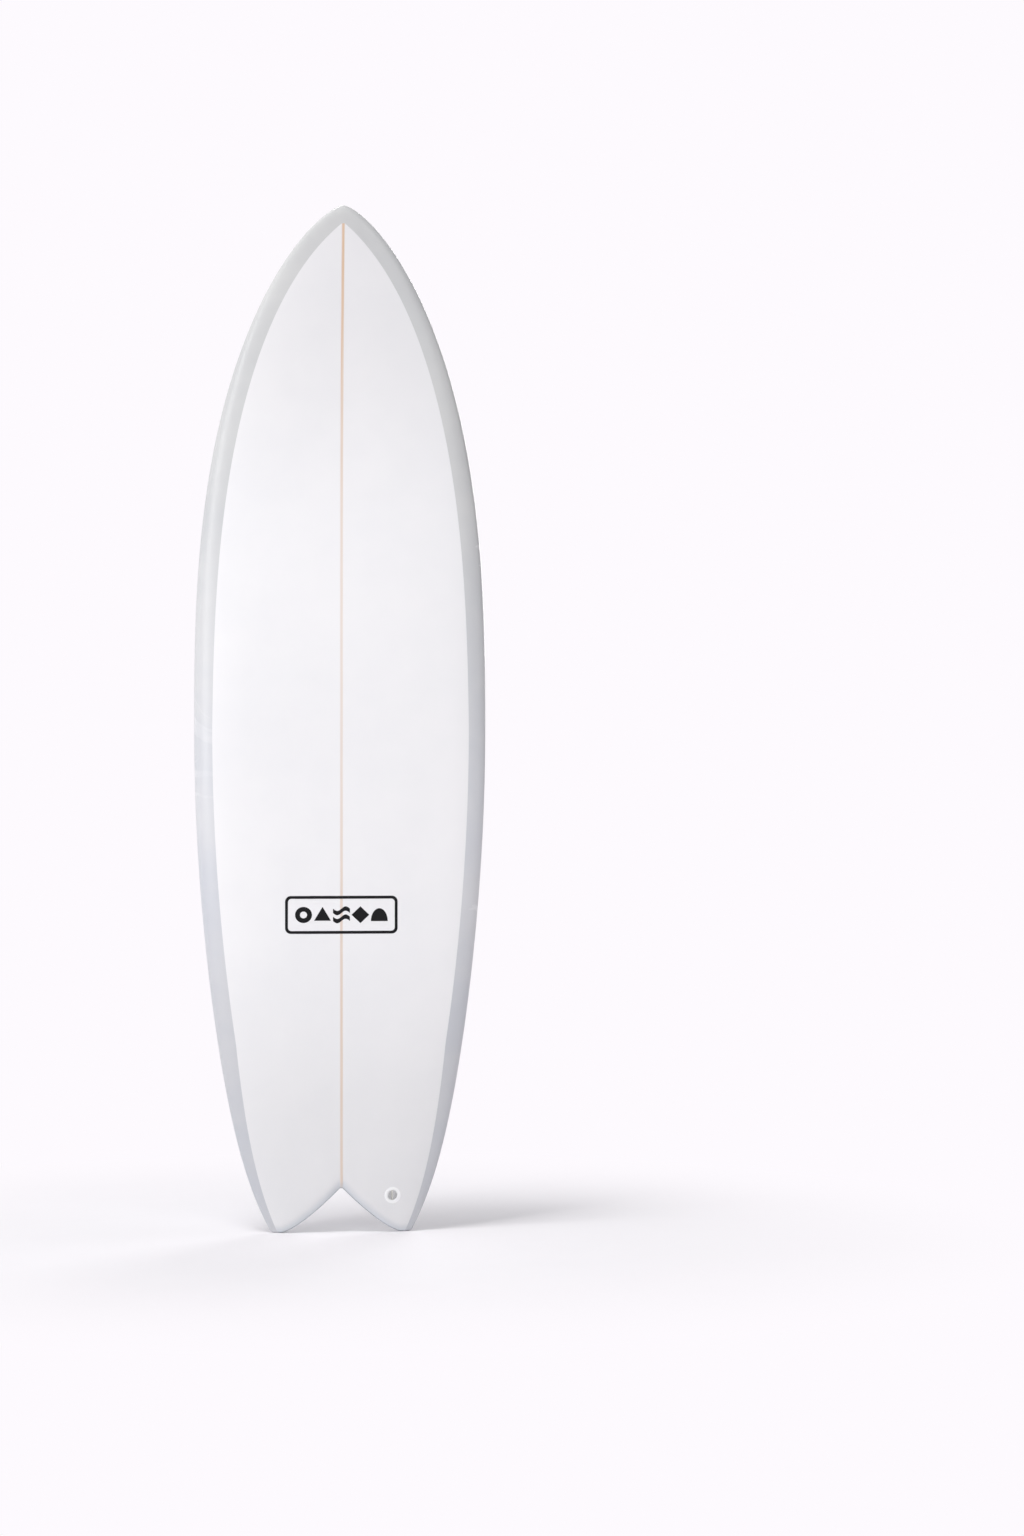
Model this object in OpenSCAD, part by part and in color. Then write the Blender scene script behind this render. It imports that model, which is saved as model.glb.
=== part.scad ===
// A twin-fin board with a swallow tail, built as a glassed foam blank.
// It stands on its two tail tips: +Z runs from tail to nose, the deck faces -Y,
// the bottom faces +Y and starboard is +X. Lengths are millimetres.

/* [Outline] */
// Length from the tail tips to the nose
board_length = 1778; // [1700:1:1850]
// Width at the widest point
board_width = 510; // [480:1:540]
// Height of the widest point above the tail tips
wide_point = 880; // [850:1:920]
// Distance of each outer tail corner from the centre line
tip_half_width = 122; // [116:1:128]
// Depth of the swallow notch
notch_depth = 76; // [60:1:90]
// Distance of the notch's outer end from the centre line
notch_half_width = 104; // [98:1:108]

/* [Foil and rocker] */
// Thickness at the thickest point
board_thickness = 62; // [56:1:68]
// Thickness of the tail end
tail_thickness = 21; // [19:1:24]
// How far the nose curves towards the deck
nose_rocker = 118; // [90:1:130]
// How far the tail curves towards the deck
tail_rocker = 44; // [35:1:50]

/* [Glass and stringer] */
// Thickness of the laminate
glass = 0.8; // [0.6:0.1:1.0]
// Width of the grey lap band on the deck at mid length
lap_width = 31; // [25:1:36]
// Thickness of the wooden stringer
stringer_width = 4.5; // [3.5:0.5:6]

/* [Fin boxes] */
// Distance of each box from the centre line
box_x = 153.5; // [148:0.5:158]
// Height of the middle of each box above the tail tips
box_z = 283.5; // [270:0.5:300]
// Length of the box flange
box_length = 137; // [134:1:140]
// Width of the raised bar that holds the slot
box_bar_width = 14; // [13:0.5:15]
// Depth of the box below the bottom surface
box_depth = 21; // [20:0.5:23]
// Length of the fin slot
slot_length = 102; // [98:1:104]
// Width of the fin slot between its walls
slot_width = 6.4; // [6:0.1:6.6]
// Depth of the fin slot
slot_depth = 18; // [16:0.5:18.5]
// Travel of the grub screw into the slot
screw_travel = 4; // [3:0.5:4]

/* [Leash plug] */
// Distance of the plug from the centre line
plug_x = 89; // [84:1:92]
// Height of the plug above the tail tips
plug_z = 64; // [60:1:70]
// Diameter of the plug's flange
plug_diameter = 28; // [27:0.5:30]
// Diameter of the open cup
cup_diameter = 17.6; // [17:0.2:18.4]
// Depth of the open cup
cup_depth = 12.5; // [12:0.5:13]
// Diameter of the steel bar
bar_diameter = 3.2; // [3:0.1:3.4]

/* [Hidden] */

// ---- outline -------------------------------------------------------------------------------
half_stringer = stringer_width / 2;
nose_bend = 2.7;         // fullness of the nose outline
nose_blunt = 0.69;       // above 0.5, the nose comes to a point
tail_soft = 0.78;        // share of the tail taper that is spread along the board
soft_taper = 2;          // exponent of that share
late_taper = 9.5;        // exponent of the rest, which comes close to the tips
tip_corner = 5;          // rounding of the outer tail corners
notch_bend = 1.35;       // above 1, the edges of the notch bulge into it

function clamp01(v) = max(0, min(1, v));
function mix(a, b, t) = a + (b - a) * t;

// How far the outer tail corner is rounded in at height z
function corner_cut(z) =
    z >= tip_corner ? 0 : tip_corner * (1 - sqrt(max(0, 1 - pow(1 - z / tip_corner, 2))));

// Half width of the outline at height z
function half_width(z) =
    let (w = board_width / 2,
         f = clamp01((z - wide_point) / (board_length - wide_point)),
         r = clamp01((wide_point - z) / wide_point))
    z > wide_point ? w * pow(max(0, 1 - pow(f, nose_bend)), nose_blunt)
    : w - (w - tip_half_width) * mix(pow(r, late_taper), pow(r, soft_taper), tail_soft) - corner_cut(z);

// Height of the nose outline at distance x from the centre line
function nose_height(x) =
    wide_point + (board_length - wide_point)
    * pow(1 - pow(min(1, x / (board_width / 2)), 1 / nose_blunt), 1 / nose_bend);

// Height of the notch edge at distance x, and distance of the edge at height z
notch_run = notch_half_width - half_stringer;
function notch_height(x) =
    x >= notch_half_width ? 0
    : notch_depth * pow(1 - max(0, x - half_stringer) / notch_run, notch_bend);
function notch_x(z) = half_stringer + notch_run * (1 - pow(clamp01(z / notch_depth), 1 / notch_bend));
function notch_slope(x) =
    x <= half_stringer || x >= notch_half_width ? 0
    : notch_depth * notch_bend / notch_run * pow(1 - (x - half_stringer) / notch_run, notch_bend - 1);

// Distance from a point of the plan to the notch and the tail end
function edge_distance(x, z) =
    let (s = notch_slope(x)) max(0, z - notch_height(x)) / sqrt(1 + s * s);

// ---- rocker, foil and section --------------------------------------------------------------
flat_spot = 900;         // height at which the bottom is closest to vertical
thick_point = 930;       // height of the thickest section
nose_thickness = 12;
nose_roll = 26;          // length over which the nose point closes
nose_rocker_bend = 2.6;  // exponents of the rocker and of the thinning towards each end
tail_rocker_bend = 2.2;
nose_thinning = 1.9;
tail_thinning = 2;
// Shares of the thickness that lie below the widest line of the rail
rail_middle = 0.36;
rail_nose = 0.42;
rail_tail = 0.2;

function rocker(z) =
    let (n = clamp01((z - flat_spot) / (board_length - flat_spot)),
         t = clamp01((flat_spot - z) / flat_spot))
    nose_rocker * pow(n, nose_rocker_bend) + tail_rocker * pow(t, tail_rocker_bend);
function thickness(z) =
    let (n = clamp01((z - thick_point) / (board_length - thick_point)),
         t = clamp01((thick_point - z) / thick_point))
    z > thick_point ? mix(board_thickness, nose_thickness, pow(n, nose_thinning))
    : mix(board_thickness, tail_thickness, pow(t, tail_thinning));
function low_rail(z) =
    z > thick_point ? mix(rail_middle, rail_nose, (z - thick_point) / (board_length - thick_point))
    : mix(rail_middle, rail_tail, pow((thick_point - z) / thick_point, tail_thinning));

function depth_at(z) = rocker(z) + thickness(z) * mix(low_rail(z), 1, nose_close(z));
depth_samples = 200;
bottom_y = max([for (s = [0:depth_samples]) depth_at(board_length * s / depth_samples)]) / 2;
function nose_close(z) = sqrt(1 - pow(1 - clamp01((board_length - z) / nose_roll), 2));
function rail_y(z) = bottom_y - rocker(z) - thickness(z) * low_rail(z);

// Share of the full deck and bottom height at a point: 0 on the rail, 1 in the middle
function across(x, z) = clamp01(x / max(0.01, half_width(z)));
crown_bend = 2.4;        // the deck is (1 - u^bend)^fall of its height, u being 1 on the rail
crown_fall = 0.42;
flat_bend = 14;          // and so is the bottom, which stays flat almost to the rail
flat_fall = 0.5;
deck_wall = 0.45;        // height of the tail wall, as a share of the deck height
bottom_wall = 0.6;
deck_roll = 22;          // width over which the deck rolls down to the notch
bottom_roll = 5;
function rolled(d, wall, roll) = mix(wall, 1, sqrt(1 - pow(1 - clamp01(d / roll), 2)));
function deck_share(x, z) =
    pow(max(0, 1 - pow(across(x, z), crown_bend)), crown_fall) * nose_close(z)
    * rolled(edge_distance(x, z), deck_wall, deck_roll);
function bottom_share(x, z) =
    pow(max(0, 1 - pow(across(x, z), flat_bend)), flat_fall) * nose_close(z)
    * rolled(edge_distance(x, z), bottom_wall, bottom_roll);

// Surface heights, set back from the outside by depth e
function deck_y(x, z, e = 0) =
    rail_y(z) - (thickness(z) * (1 - low_rail(z)) - e) * deck_share(x, z);
function underside_y(x, z, e = 0) =
    rail_y(z) + (thickness(z) * low_rail(z) - e) * bottom_share(x, z);

// ---- plan mesh: a field inside the cut line, and a lap band between it and the rail -------------
notch_rows = 7;
long_rows = 29;
rows = notch_rows + long_rows;
field_cols = 6;
lap_cols = 5;
nose_lap = 31;           // length of the lap band at the nose
cut_tip = 8;             // half width of the blunt end of the cut line
cut_narrowing = 40;      // the cut line keeps at least this half width until close to its blunt end
cut_narrowing_bend = 24;
tip_lap = 11;            // width of the lap band at the tail tips
lap_rise = 330;          // height over which it widens to its full width
lap_rise_bend = 0.8;
shoulder_lap = 4;        // extra width of the band at the shoulders
cut_top = board_length - nose_lap;
nose_arc = 10;           // length of the nose arc that the fan of lap lines ends on
arc_start = board_length - nose_arc;
fan_bend = 8;            // above 1, the lap lines lean towards the nose only near its end

function row_z(i) =
    i <= notch_rows ? notch_depth * sin(90 * i / notch_rows)
    : mix(notch_depth, cut_top, (1 - cos(180 * (i - notch_rows) / long_rows)) / 2);
function rail_z(i) = row_z(i) + (arc_start - cut_top) * pow(row_z(i) / cut_top, fan_bend);
function lap_at(z) =
    let (n = clamp01((z - wide_point) / (cut_top - wide_point)))
    z > wide_point ? lap_width + shoulder_lap * sin(180 * n)
    : mix(tip_lap, lap_width, pow(clamp01(z / lap_rise), lap_rise_bend));
function cut_x(i) =
    max(cut_tip + cut_narrowing * (1 - pow(row_z(i) / cut_top, cut_narrowing_bend)),
        half_width(row_z(i)) - lap_at(row_z(i)));
function cut_point(i) = [i == rows ? cut_tip : cut_x(i), row_z(i)];
function inner_point(i) = [i < notch_rows ? notch_x(row_z(i)) : half_stringer, row_z(i)];
function field_point(i, j) = mix(inner_point(i), cut_point(i), j / field_cols);

// Lap lines run from the port tail round the nose to the starboard tail
lap_lines = 2 * rows + 2 * field_cols + 2;
last_line = lap_lines - 1;
function line_side(m) = m <= rows + field_cols ? -1 : 1;
function line_half(m) = line_side(m) < 0 ? m : last_line - m;    // 0 at the tail, counted up a side
function line_row(m) = min(rows, line_half(m));
function line_col(m) = field_cols - max(0, line_half(m) - rows);
arc_half_width = half_width(arc_start);
function rail_point(m) =
    line_half(m) <= rows ? [half_width(rail_z(line_half(m))), rail_z(line_half(m))]
    : let (x = mix(half_stringer, arc_half_width, line_col(m) / field_cols)) [x, nose_height(x)];
function lap_step(k) = 1 - pow(1 - k / lap_cols, 2);
function lap_point(m, k) = mix(field_point(line_row(m), line_col(m)), rail_point(m), lap_step(k));

// Directions in which the edges move when the board is set back by the glass thickness
function rail_inward(m) =
    let (p = rail_point(m), h = 0.5, below = max(0, p[1] - h),
         s = line_half(m) <= rows ? (half_width(p[1] + h) - half_width(below)) / (p[1] + h - below)
             : (half_width(board_length) - half_width(below)) / (board_length - below))
    p[1] == 0 ? [-1, 0] : [-1, s] / sqrt(1 + s * s);
function notch_inward(i) =
    let (s = notch_slope(inner_point(i)[0]))
    i == 0 ? [1, 0] : i >= notch_rows ? [0, i == notch_rows ? 1 : 0] : [s, 1] / sqrt(1 + s * s);

// A vertex is [x, z, inset direction x, inset direction z, side]
field_vertices = [for (side = [-1, 1]) for (i = [0:rows]) for (j = [0:field_cols])
    let (p = field_point(i, j), n = j == 0 ? notch_inward(i) : [0, 0]) [p[0], p[1], n[0], n[1], side]];
lap_vertices = [for (m = [0:last_line]) for (k = [1:lap_cols])
    let (p = lap_point(m, k), n = rail_inward(m) * lap_step(k)) [p[0], p[1], n[0], n[1], line_side(m)]];
plan = concat(field_vertices, lap_vertices);
plan_size = len(plan);
field_size = len(field_vertices);

function field_id(side, i, j) = ((side < 0 ? 0 : rows + 1) + i) * (field_cols + 1) + j;
function lap_id(m, k) =
    k == 0 ? field_id(line_side(m), line_row(m), line_col(m)) : field_size + m * lap_cols + k - 1;
function on_rail(v) = v >= field_size && (v - field_size) % lap_cols == lap_cols - 1;

// Four layers of points: deck outside, deck inside, bottom outside, bottom inside
DECK_OUT = 0;
DECK_IN = 1;
LOW_OUT = 2;
LOW_IN = 3;
function layer(e, low) = [for (v = plan)
    [v[4] * (v[0] + e * v[2]), low ? underside_y(v[0], v[1], e) : deck_y(v[0], v[1], e), v[1] + e * v[3]]];
points = concat(layer(0, false), layer(glass, false), layer(0, true), layer(glass, true));
// The deck and the bottom share their rail points
function id(layer, v) = (on_rail(v) && layer >= LOW_OUT ? layer - 2 : layer) * plan_size + v;

// ---- cells and edges of the plan mesh, as seen from the deck ------------------------------------
function side_cells(side) = [for (i = [0:rows - 1]) for (j = [0:field_cols - 1])
    let (q = [field_id(side, i, j), field_id(side, i, j + 1), field_id(side, i + 1, j + 1),
              field_id(side, i + 1, j)]) side > 0 ? q : [q[0], q[3], q[2], q[1]]];
function strip_cells(from_row) = [for (i = [from_row:rows - 1])
    [field_id(-1, i, 0), field_id(1, i, 0), field_id(1, i + 1, 0), field_id(-1, i + 1, 0)]];
function lap_cells(from_line, to_line) = [for (m = [from_line:to_line - 1]) for (k = [0:lap_cols - 1])
    [lap_id(m, k), lap_id(m + 1, k), lap_id(m + 1, k + 1), lap_id(m, k + 1)]];
centre_line = rows + field_cols;     // the port lap line beside the stringer

// Edges as point lists. A closed edge runs anticlockwise round its solid, seen from the deck.
function turned(list) = [for (i = [len(list) - 1:-1:0]) list[i]];
function forward(side, list) = side < 0 ? list : turned(list);
function lap_end(side) = [for (k = [lap_cols:-1:0]) lap_id(side < 0 ? 0 : last_line, k)];
function field_end(side) = [for (j = [field_cols:-1:0]) field_id(side, 0, j)];
function notch_edge(side) = [for (i = [0:notch_rows]) field_id(side, i, 0)];
function spine_edge(side) = concat([for (i = [notch_rows:rows]) field_id(side, i, 0)],
    [for (k = [1:lap_cols]) lap_id(side < 0 ? centre_line : centre_line + 1, k)]);
notch_apex = [field_id(-1, notch_rows, 0), field_id(1, notch_rows, 0)];
cut_edge = [for (m = [0:last_line]) lap_id(m, 0)];

// ---- faces, wound clockwise as seen from outside ---------------------------------------------------
function two(q) = [[q[0], q[1], q[2]], [q[0], q[2], q[3]]];
function flipped(faces) = [for (f = faces) [f[0], f[2], f[1]]];
function real(faces) = [for (f = faces) if (f[0] != f[1] && f[1] != f[2] && f[2] != f[0]) f];
function low_sheet(cells, layer) = [for (c = cells) for (f = two([for (v = c) id(layer, v)])) f];
function top_sheet(cells, layer) = flipped(low_sheet(cells, layer));
function wall(edge, upper, lower) = real([for (n = [0:len(edge) - 2])
    let (a = edge[n], b = edge[n + 1])
    for (f = two([id(upper, a), id(upper, b), id(lower, b), id(lower, a)])) f]);
function walls(edges, upper, lower) = [for (e = edges) for (f = wall(e, upper, lower)) f];

// A solid between two layers over some cells, closed by walls along its edges
module slab(cells, edges, upper, lower)
    polyhedron(points, concat(top_sheet(cells, upper), low_sheet(cells, lower), walls(edges, upper, lower)),
               convexity = 8);

// ---- the glassed blank -------------------------------------------------------------------------
function half_cells(side) =
    concat(side_cells(side),
           side < 0 ? lap_cells(0, centre_line) : lap_cells(centre_line + 1, last_line));
function field_cells() = concat(side_cells(-1), strip_cells(notch_rows), side_cells(1));
function all_cells() = concat(field_cells(), lap_cells(0, last_line));
notch_walls = [notch_edge(-1), notch_apex, turned(notch_edge(1))];

module foam_half(side) {
    color("ivory") difference() {
        slab(half_cells(side),
             [for (e = [lap_end(side), field_end(side), notch_edge(side), spine_edge(side)])
                  forward(side, e)],
             DECK_IN, LOW_IN);
        on_bottom(side) box_cavity(proud);
        if (side > 0) on_deck() plug_cavity(proud);
    }
}

module stringer() {
    color("burlywood")
        slab(concat(strip_cells(notch_rows), lap_cells(centre_line, centre_line + 1)),
             [turned(spine_edge(-1)), notch_apex, spine_edge(1)], DECK_IN, LOW_IN);
}

module deck_laminate() {
    color("white") difference() {
        slab(field_cells(),
             concat([field_end(-1)], notch_walls, [turned(field_end(1)), turned(cut_edge)]),
             DECK_OUT, DECK_IN);
        on_deck() plug_cavity(proud);
    }
}

// The bottom glass is one tub: the bottom, the walls of the notch and the laps on the deck
function corner_quad(side) =
    let (v = field_id(side, 0, 0),
         q = two([id(DECK_IN, v), id(DECK_OUT, v), id(LOW_OUT, v), id(LOW_IN, v)]))
    side < 0 ? q : flipped(q);
module bottom_laminate() {
    laps = lap_cells(0, last_line);
    deck_joint = concat(notch_walls, [turned(cut_edge)]);
    color("lightslategray") difference() {
        polyhedron(points, concat(
            top_sheet(laps, DECK_OUT), low_sheet(laps, DECK_IN),
            low_sheet(all_cells(), LOW_OUT), top_sheet(all_cells(), LOW_IN),
            walls(notch_walls, DECK_OUT, LOW_OUT), flipped(walls(notch_walls, DECK_IN, LOW_IN)),
            flipped(walls(deck_joint, DECK_OUT, DECK_IN)),
            walls([for (side = [-1, 1]) forward(side, lap_end(side))], DECK_OUT, DECK_IN),
            walls([for (side = [-1, 1]) for (e = [lap_end(side), field_end(side)]) forward(side, e)],
                  LOW_IN, LOW_OUT),
            corner_quad(-1), corner_quad(1)), convexity = 8);
        for (side = [-1, 1]) on_bottom(side) box_cavity(proud);
    }
}

// ---- fin boxes: local +Y points out of the bottom, local +Z runs towards the nose ------------------
proud = 4;               // how far a cavity tool reaches out of the surface
slope_step = 40;
box_slope = (underside_y(box_x, box_z + slope_step) - underside_y(box_x, box_z - slope_step))
            / (2 * slope_step);
module on_bottom(side)
    mirror([side < 0 ? 1 : 0, 0, 0])
        translate([box_x, underside_y(box_x, box_z), box_z]) rotate([-atan(box_slope), 0, 0]) children();

// Sinks a flat outline into the surface, from a height above it
module sunk(depth, above = 0)
    translate([0, above, 0]) rotate([90, 0, 0]) linear_extrude(depth + above) children();

module rounded_bar(width, length, radius) {
    square([width - 2 * radius, length], center = true);
    square([width, length - 2 * radius], center = true);
    for (x = [-1, 1], y = [-1, 1])
        translate([x * (width / 2 - radius), y * (length / 2 - radius)]) circle(radius, $fn = 32);
}

bar_corner = 3;
flange_width = 18.2;
flange_length = box_length - 7;
flange_depth = 2.4;
pad_width = 27;
pad_length = 15;
pad_corner = 2;
pad_pitch = 24.6;
resin_gap = 1.2;
routed_corner = 4;
module flange_outline() {
    rounded_bar(box_bar_width, box_length, bar_corner);
    rounded_bar(flange_width, flange_length, bar_corner);
    for (n = [-2:2]) translate([0, n * pad_pitch]) rounded_bar(pad_width, pad_length, pad_corner);
}
box_body_length = box_length - 4;
module box_envelope() {
    sunk(flange_depth) flange_outline();
    sunk(box_depth) rounded_bar(box_bar_width, box_body_length, bar_corner);
}
module routed(width, length) rounded_bar(width + 2 * resin_gap, length + 2 * resin_gap, routed_corner);
module box_cavity(above = 0) {
    sunk(flange_depth + resin_gap, above) routed(pad_width, box_length);
    sunk(box_depth + resin_gap) routed(box_bar_width, box_body_length);
}

slot_corner = 1;
rib_count = 14;
rib_depth = 0.85;
rib_length = 2.6;
rib_below = 0.8;         // depth of the ribs' upper ends below the flange
rib_margin = 4;          // distance of the end ribs from the ends of the slot
rib_pitch = (slot_length - 2 * rib_margin) / (rib_count - 1);
hair = 0.02;             // overlap that joins two solids of one piece
module crush_ribs()
    for (n = [0:rib_count - 1], side = [-1, 1])
        translate([side * (slot_width - rib_depth) / 2, -(slot_depth + rib_below) / 2,
                   (n - (rib_count - 1) / 2) * rib_pitch])
            cube([rib_depth + hair, slot_depth - rib_below, rib_length], center = true);

// The grub screw leans towards the slot, so that its point bears on the tab of the fin
screw_z = 58;
screw_lean = 30;
screw_radius = 2.45;
screw_length = 7.5;
screw_seat = 2;          // depth of the backed-out screw's head along its axis
screw_point = 1.2;       // length of the narrower point, and how far it is stepped in
screw_step = 0.9;
socket_width = 2.9;      // across the corners
socket_depth = 3.5;
bore_radius = 2.5;
bore_above = 3;          // how far the boring tool reaches out, and past the driven-in screw
bore_spare = 2.5;
bore_length = bore_above + screw_seat + screw_length + screw_travel + bore_spare;
module along_screw() translate([0, 0, screw_z]) rotate([90 + screw_lean, 0, 0]) children();

dimple_z = -57;
dimple_radius = 1.3;
dimple_depth = 3;
crescent_z = -62.5;
crescent_radius = 4;
crescent_depth = 0.8;
module crescent() difference() {
    translate([0, crescent_z]) circle(crescent_radius, $fn = 48);
    translate([0, crescent_z + 2]) circle(crescent_radius + 1, $fn = 48);
}
module fin_box(side) {
    color("white") on_bottom(side) difference() {
        box_envelope();
        difference() {
            sunk(slot_depth, 1) rounded_bar(slot_width, slot_length, slot_corner);
            crush_ribs();
        }
        along_screw() translate([0, 0, -bore_above]) cylinder(h = bore_length, r = bore_radius, $fn = 48);
        translate([0, 0, dimple_z]) sunk(dimple_depth, 1) circle(dimple_radius, $fn = 32);
        sunk(crescent_depth, 1) crescent();
    }
}
module box_resin_bed(side) {
    color("lightsteelblue") on_bottom(side) difference() {
        box_cavity();
        box_envelope();
    }
}
module grub_screw(side) {
    color("gray") on_bottom(side) along_screw() translate([0, 0, screw_seat]) difference() {
        union() {
            cylinder(h = screw_length - screw_point, r = screw_radius, $fn = 48);
            translate([0, 0, screw_length - screw_point])
                cylinder(h = screw_point, r = screw_radius - screw_step, $fn = 48);
        }
        translate([0, 0, -1]) cylinder(h = socket_depth + 1, d = socket_width, $fn = 6);
    }
}

// ---- leash plug: local +Z points into the deck, local +Y towards the nose --------------------------
plug_flange = 1.6;
plug_body_radius = 11.8;
cup_floor = 2.3;
plug_height = cup_depth + cup_floor;
bar_depth = 5;
bar_length = 22.8;
bar_play = 0.1;          // end play of the bar in its moulding
plug_step = 8;
plug_slope_x = (deck_y(plug_x + plug_step, plug_z) - deck_y(plug_x - plug_step, plug_z)) / (2 * plug_step);
plug_slope_z = (deck_y(plug_x, plug_z + plug_step) - deck_y(plug_x, plug_z - plug_step)) / (2 * plug_step);
module on_deck()
    translate([plug_x, deck_y(plug_x, plug_z), plug_z])
        rotate([-90 + atan(-plug_slope_z), 0, atan(plug_slope_x)]) children();
module plug_envelope() {
    cylinder(h = plug_flange, d = plug_diameter, $fn = 96);
    cylinder(h = plug_height, r = plug_body_radius, $fn = 96);
}
module plug_cavity(above = 0) {
    translate([0, 0, -above])
        cylinder(h = plug_flange + resin_gap + above, d = plug_diameter + 2 * resin_gap, $fn = 96);
    cylinder(h = plug_height + resin_gap, r = plug_body_radius + resin_gap, $fn = 96);
}
module across_cup(length, radius)
    translate([0, 0, bar_depth]) rotate([90, 0, 0])
        cylinder(h = length, r = radius, center = true, $fn = 48);
module leash_plug_cup() {
    color("whitesmoke") on_deck() difference() {
        plug_envelope();
        translate([0, 0, -1]) cylinder(h = cup_depth + 1, d = cup_diameter, $fn = 96);
        across_cup(bar_length + bar_play, bar_diameter / 2 + hair);
    }
}
module leash_plug_bar() {
    color("silver") on_deck() across_cup(bar_length, bar_diameter / 2);
}
module leash_plug_resin_bed() {
    color("lightsteelblue") on_deck() difference() {
        plug_cavity();
        plug_envelope();
    }
}

foam_half(-1);  // foam_core_port
foam_half(1);  // foam_core_starboard
stringer();
deck_laminate();
bottom_laminate();
fin_box(-1);  // port_fin_box
fin_box(1);  // starboard_fin_box
box_resin_bed(-1);  // port_box_resin_bed
box_resin_bed(1);  // starboard_box_resin_bed
grub_screw(-1);  // port_grub_screw
grub_screw(1);  // starboard_grub_screw
leash_plug_cup();
leash_plug_bar();
leash_plug_resin_bed();
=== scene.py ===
"""A twin-fin board with a swallow tail, standing on its tail tips, shown from its deck.

Lengths in the shape functions are millimetres, with +Z from tail to nose, the deck towards -Y and
starboard towards +X. Meshes are in metres.
"""
import contextlib
import math

import bmesh
import bpy
import numpy as np
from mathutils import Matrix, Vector


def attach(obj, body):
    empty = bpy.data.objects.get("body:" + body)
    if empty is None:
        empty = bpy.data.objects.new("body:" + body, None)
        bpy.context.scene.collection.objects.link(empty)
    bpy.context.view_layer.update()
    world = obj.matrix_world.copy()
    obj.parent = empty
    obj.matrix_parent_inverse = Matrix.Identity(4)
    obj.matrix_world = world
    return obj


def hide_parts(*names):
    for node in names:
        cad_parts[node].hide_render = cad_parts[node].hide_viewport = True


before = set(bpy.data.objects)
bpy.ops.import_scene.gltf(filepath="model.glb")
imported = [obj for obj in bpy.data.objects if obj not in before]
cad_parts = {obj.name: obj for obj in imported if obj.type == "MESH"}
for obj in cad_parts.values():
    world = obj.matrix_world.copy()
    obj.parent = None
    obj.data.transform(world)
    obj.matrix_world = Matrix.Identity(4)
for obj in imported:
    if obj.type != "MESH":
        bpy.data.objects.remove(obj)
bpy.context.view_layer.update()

MM = 0.001

# ---- driving dimensions ------------------------------------------------------------------------
BOARD_LENGTH = 1778
BOARD_WIDTH = 510
WIDE_POINT = 880  # height of the widest place
TIP_HALF_WIDTH = 122
TIP_CORNER = 5  # rounding of the outline at each tail tip
NOTCH_DEPTH = 76
NOTCH_HALF_WIDTH = 104
NOTCH_BEND = 1.35  # 1 is a straight V, more is a curved one
NOSE_BEND = 2.7  # how late the nose narrows
NOSE_BLUNT = 0.69  # how round it ends: 0.5 is an ellipse
TAIL_SOFT = 0.78  # share of the even taper, the rest narrows only at the tips
THICKNESS = 62
TAIL_THICKNESS = 21
NOSE_THICKNESS = 12
NOSE_ROCKER = 118
TAIL_ROCKER = 44
FLAT_SPOT = 900  # height at which the rocker is flat
THICK_POINT = 930  # height of the thickest place
NOSE_ROLL = 26  # length over which the two faces close at the nose
DECK_WALL, DECK_ROLL = 0.45, 22  # share of the height left at the tail edge, and how far in it rounds
BOTTOM_WALL, BOTTOM_ROLL = 0.6, 5  # the same for the bottom
GLASS = 0.8
LAP_WIDTH = 31  # width of the tinted band on the deck
LAP_RISE = 330  # height over which it widens from the tail tips
SHOULDER_LAP = 4  # how much wider it is half way to the nose
TIP_LAP = 11
NOSE_LAP = 31
STRINGER_WIDTH = 4.5
HALF_STRINGER = STRINGER_WIDTH / 2
BOX_X, BOX_Z = 153.5, 283.5
BOX_BAR_WIDTH = 14  # the bar along a fin box that stands clear of the glass
SLOT_WIDTH = 6.4
RIB_PITCH = 7.23  # distance between the crush ribs of a fin slot
BOX_OPENING_WIDTH, BOX_OPENING_LENGTH = 29.4, 139.4
PLUG_X, PLUG_Z = 89, 64
PLUG_OPENING = 15.2  # radius of the hole in the deck glass


# ---- shape of the board ------------------------------------------------------------------------
def mix(a, b, t):
    return a + (b - a) * t


def clamp(v):
    return np.clip(v, 0, 1)


def quarter(t):
    """Height of a quarter circle that rises from 0 with a vertical start to 1 at t = 1."""
    return np.sqrt(1 - (1 - clamp(t)) ** 2)


def half_width(z):
    """Half the outline: (1 - f^bend)^blunt to the nose, r^2 and r^9.5 tapers and a corner to the tail."""
    w = BOARD_WIDTH / 2
    f = clamp((z - WIDE_POINT) / (BOARD_LENGTH - WIDE_POINT))
    r = clamp((WIDE_POINT - z) / WIDE_POINT)
    nose = w * (1 - f ** NOSE_BEND) ** NOSE_BLUNT
    corner = TIP_CORNER * (1 - quarter(z / TIP_CORNER))
    tail = w - (w - TIP_HALF_WIDTH) * mix(r ** 9.5, r ** 2, TAIL_SOFT) - corner
    return np.where(z > WIDE_POINT, nose, tail)


def nose_height(x):
    """The nose outline turned round: height at distance x from the centre line."""
    f = (1 - (x / (BOARD_WIDTH / 2)) ** (1 / NOSE_BLUNT)) ** (1 / NOSE_BEND)
    return WIDE_POINT + (BOARD_LENGTH - WIDE_POINT) * f


NOTCH_RUN = NOTCH_HALF_WIDTH - HALF_STRINGER


def notch_height(x):
    """Height of the notch edge: the depth times (1 - distance / run)^bend."""
    return NOTCH_DEPTH * clamp(1 - clamp((x - HALF_STRINGER) / NOTCH_RUN)) ** NOTCH_BEND


def notch_x(z):
    return HALF_STRINGER + NOTCH_RUN * (1 - clamp(z / NOTCH_DEPTH) ** (1 / NOTCH_BEND))


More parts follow.
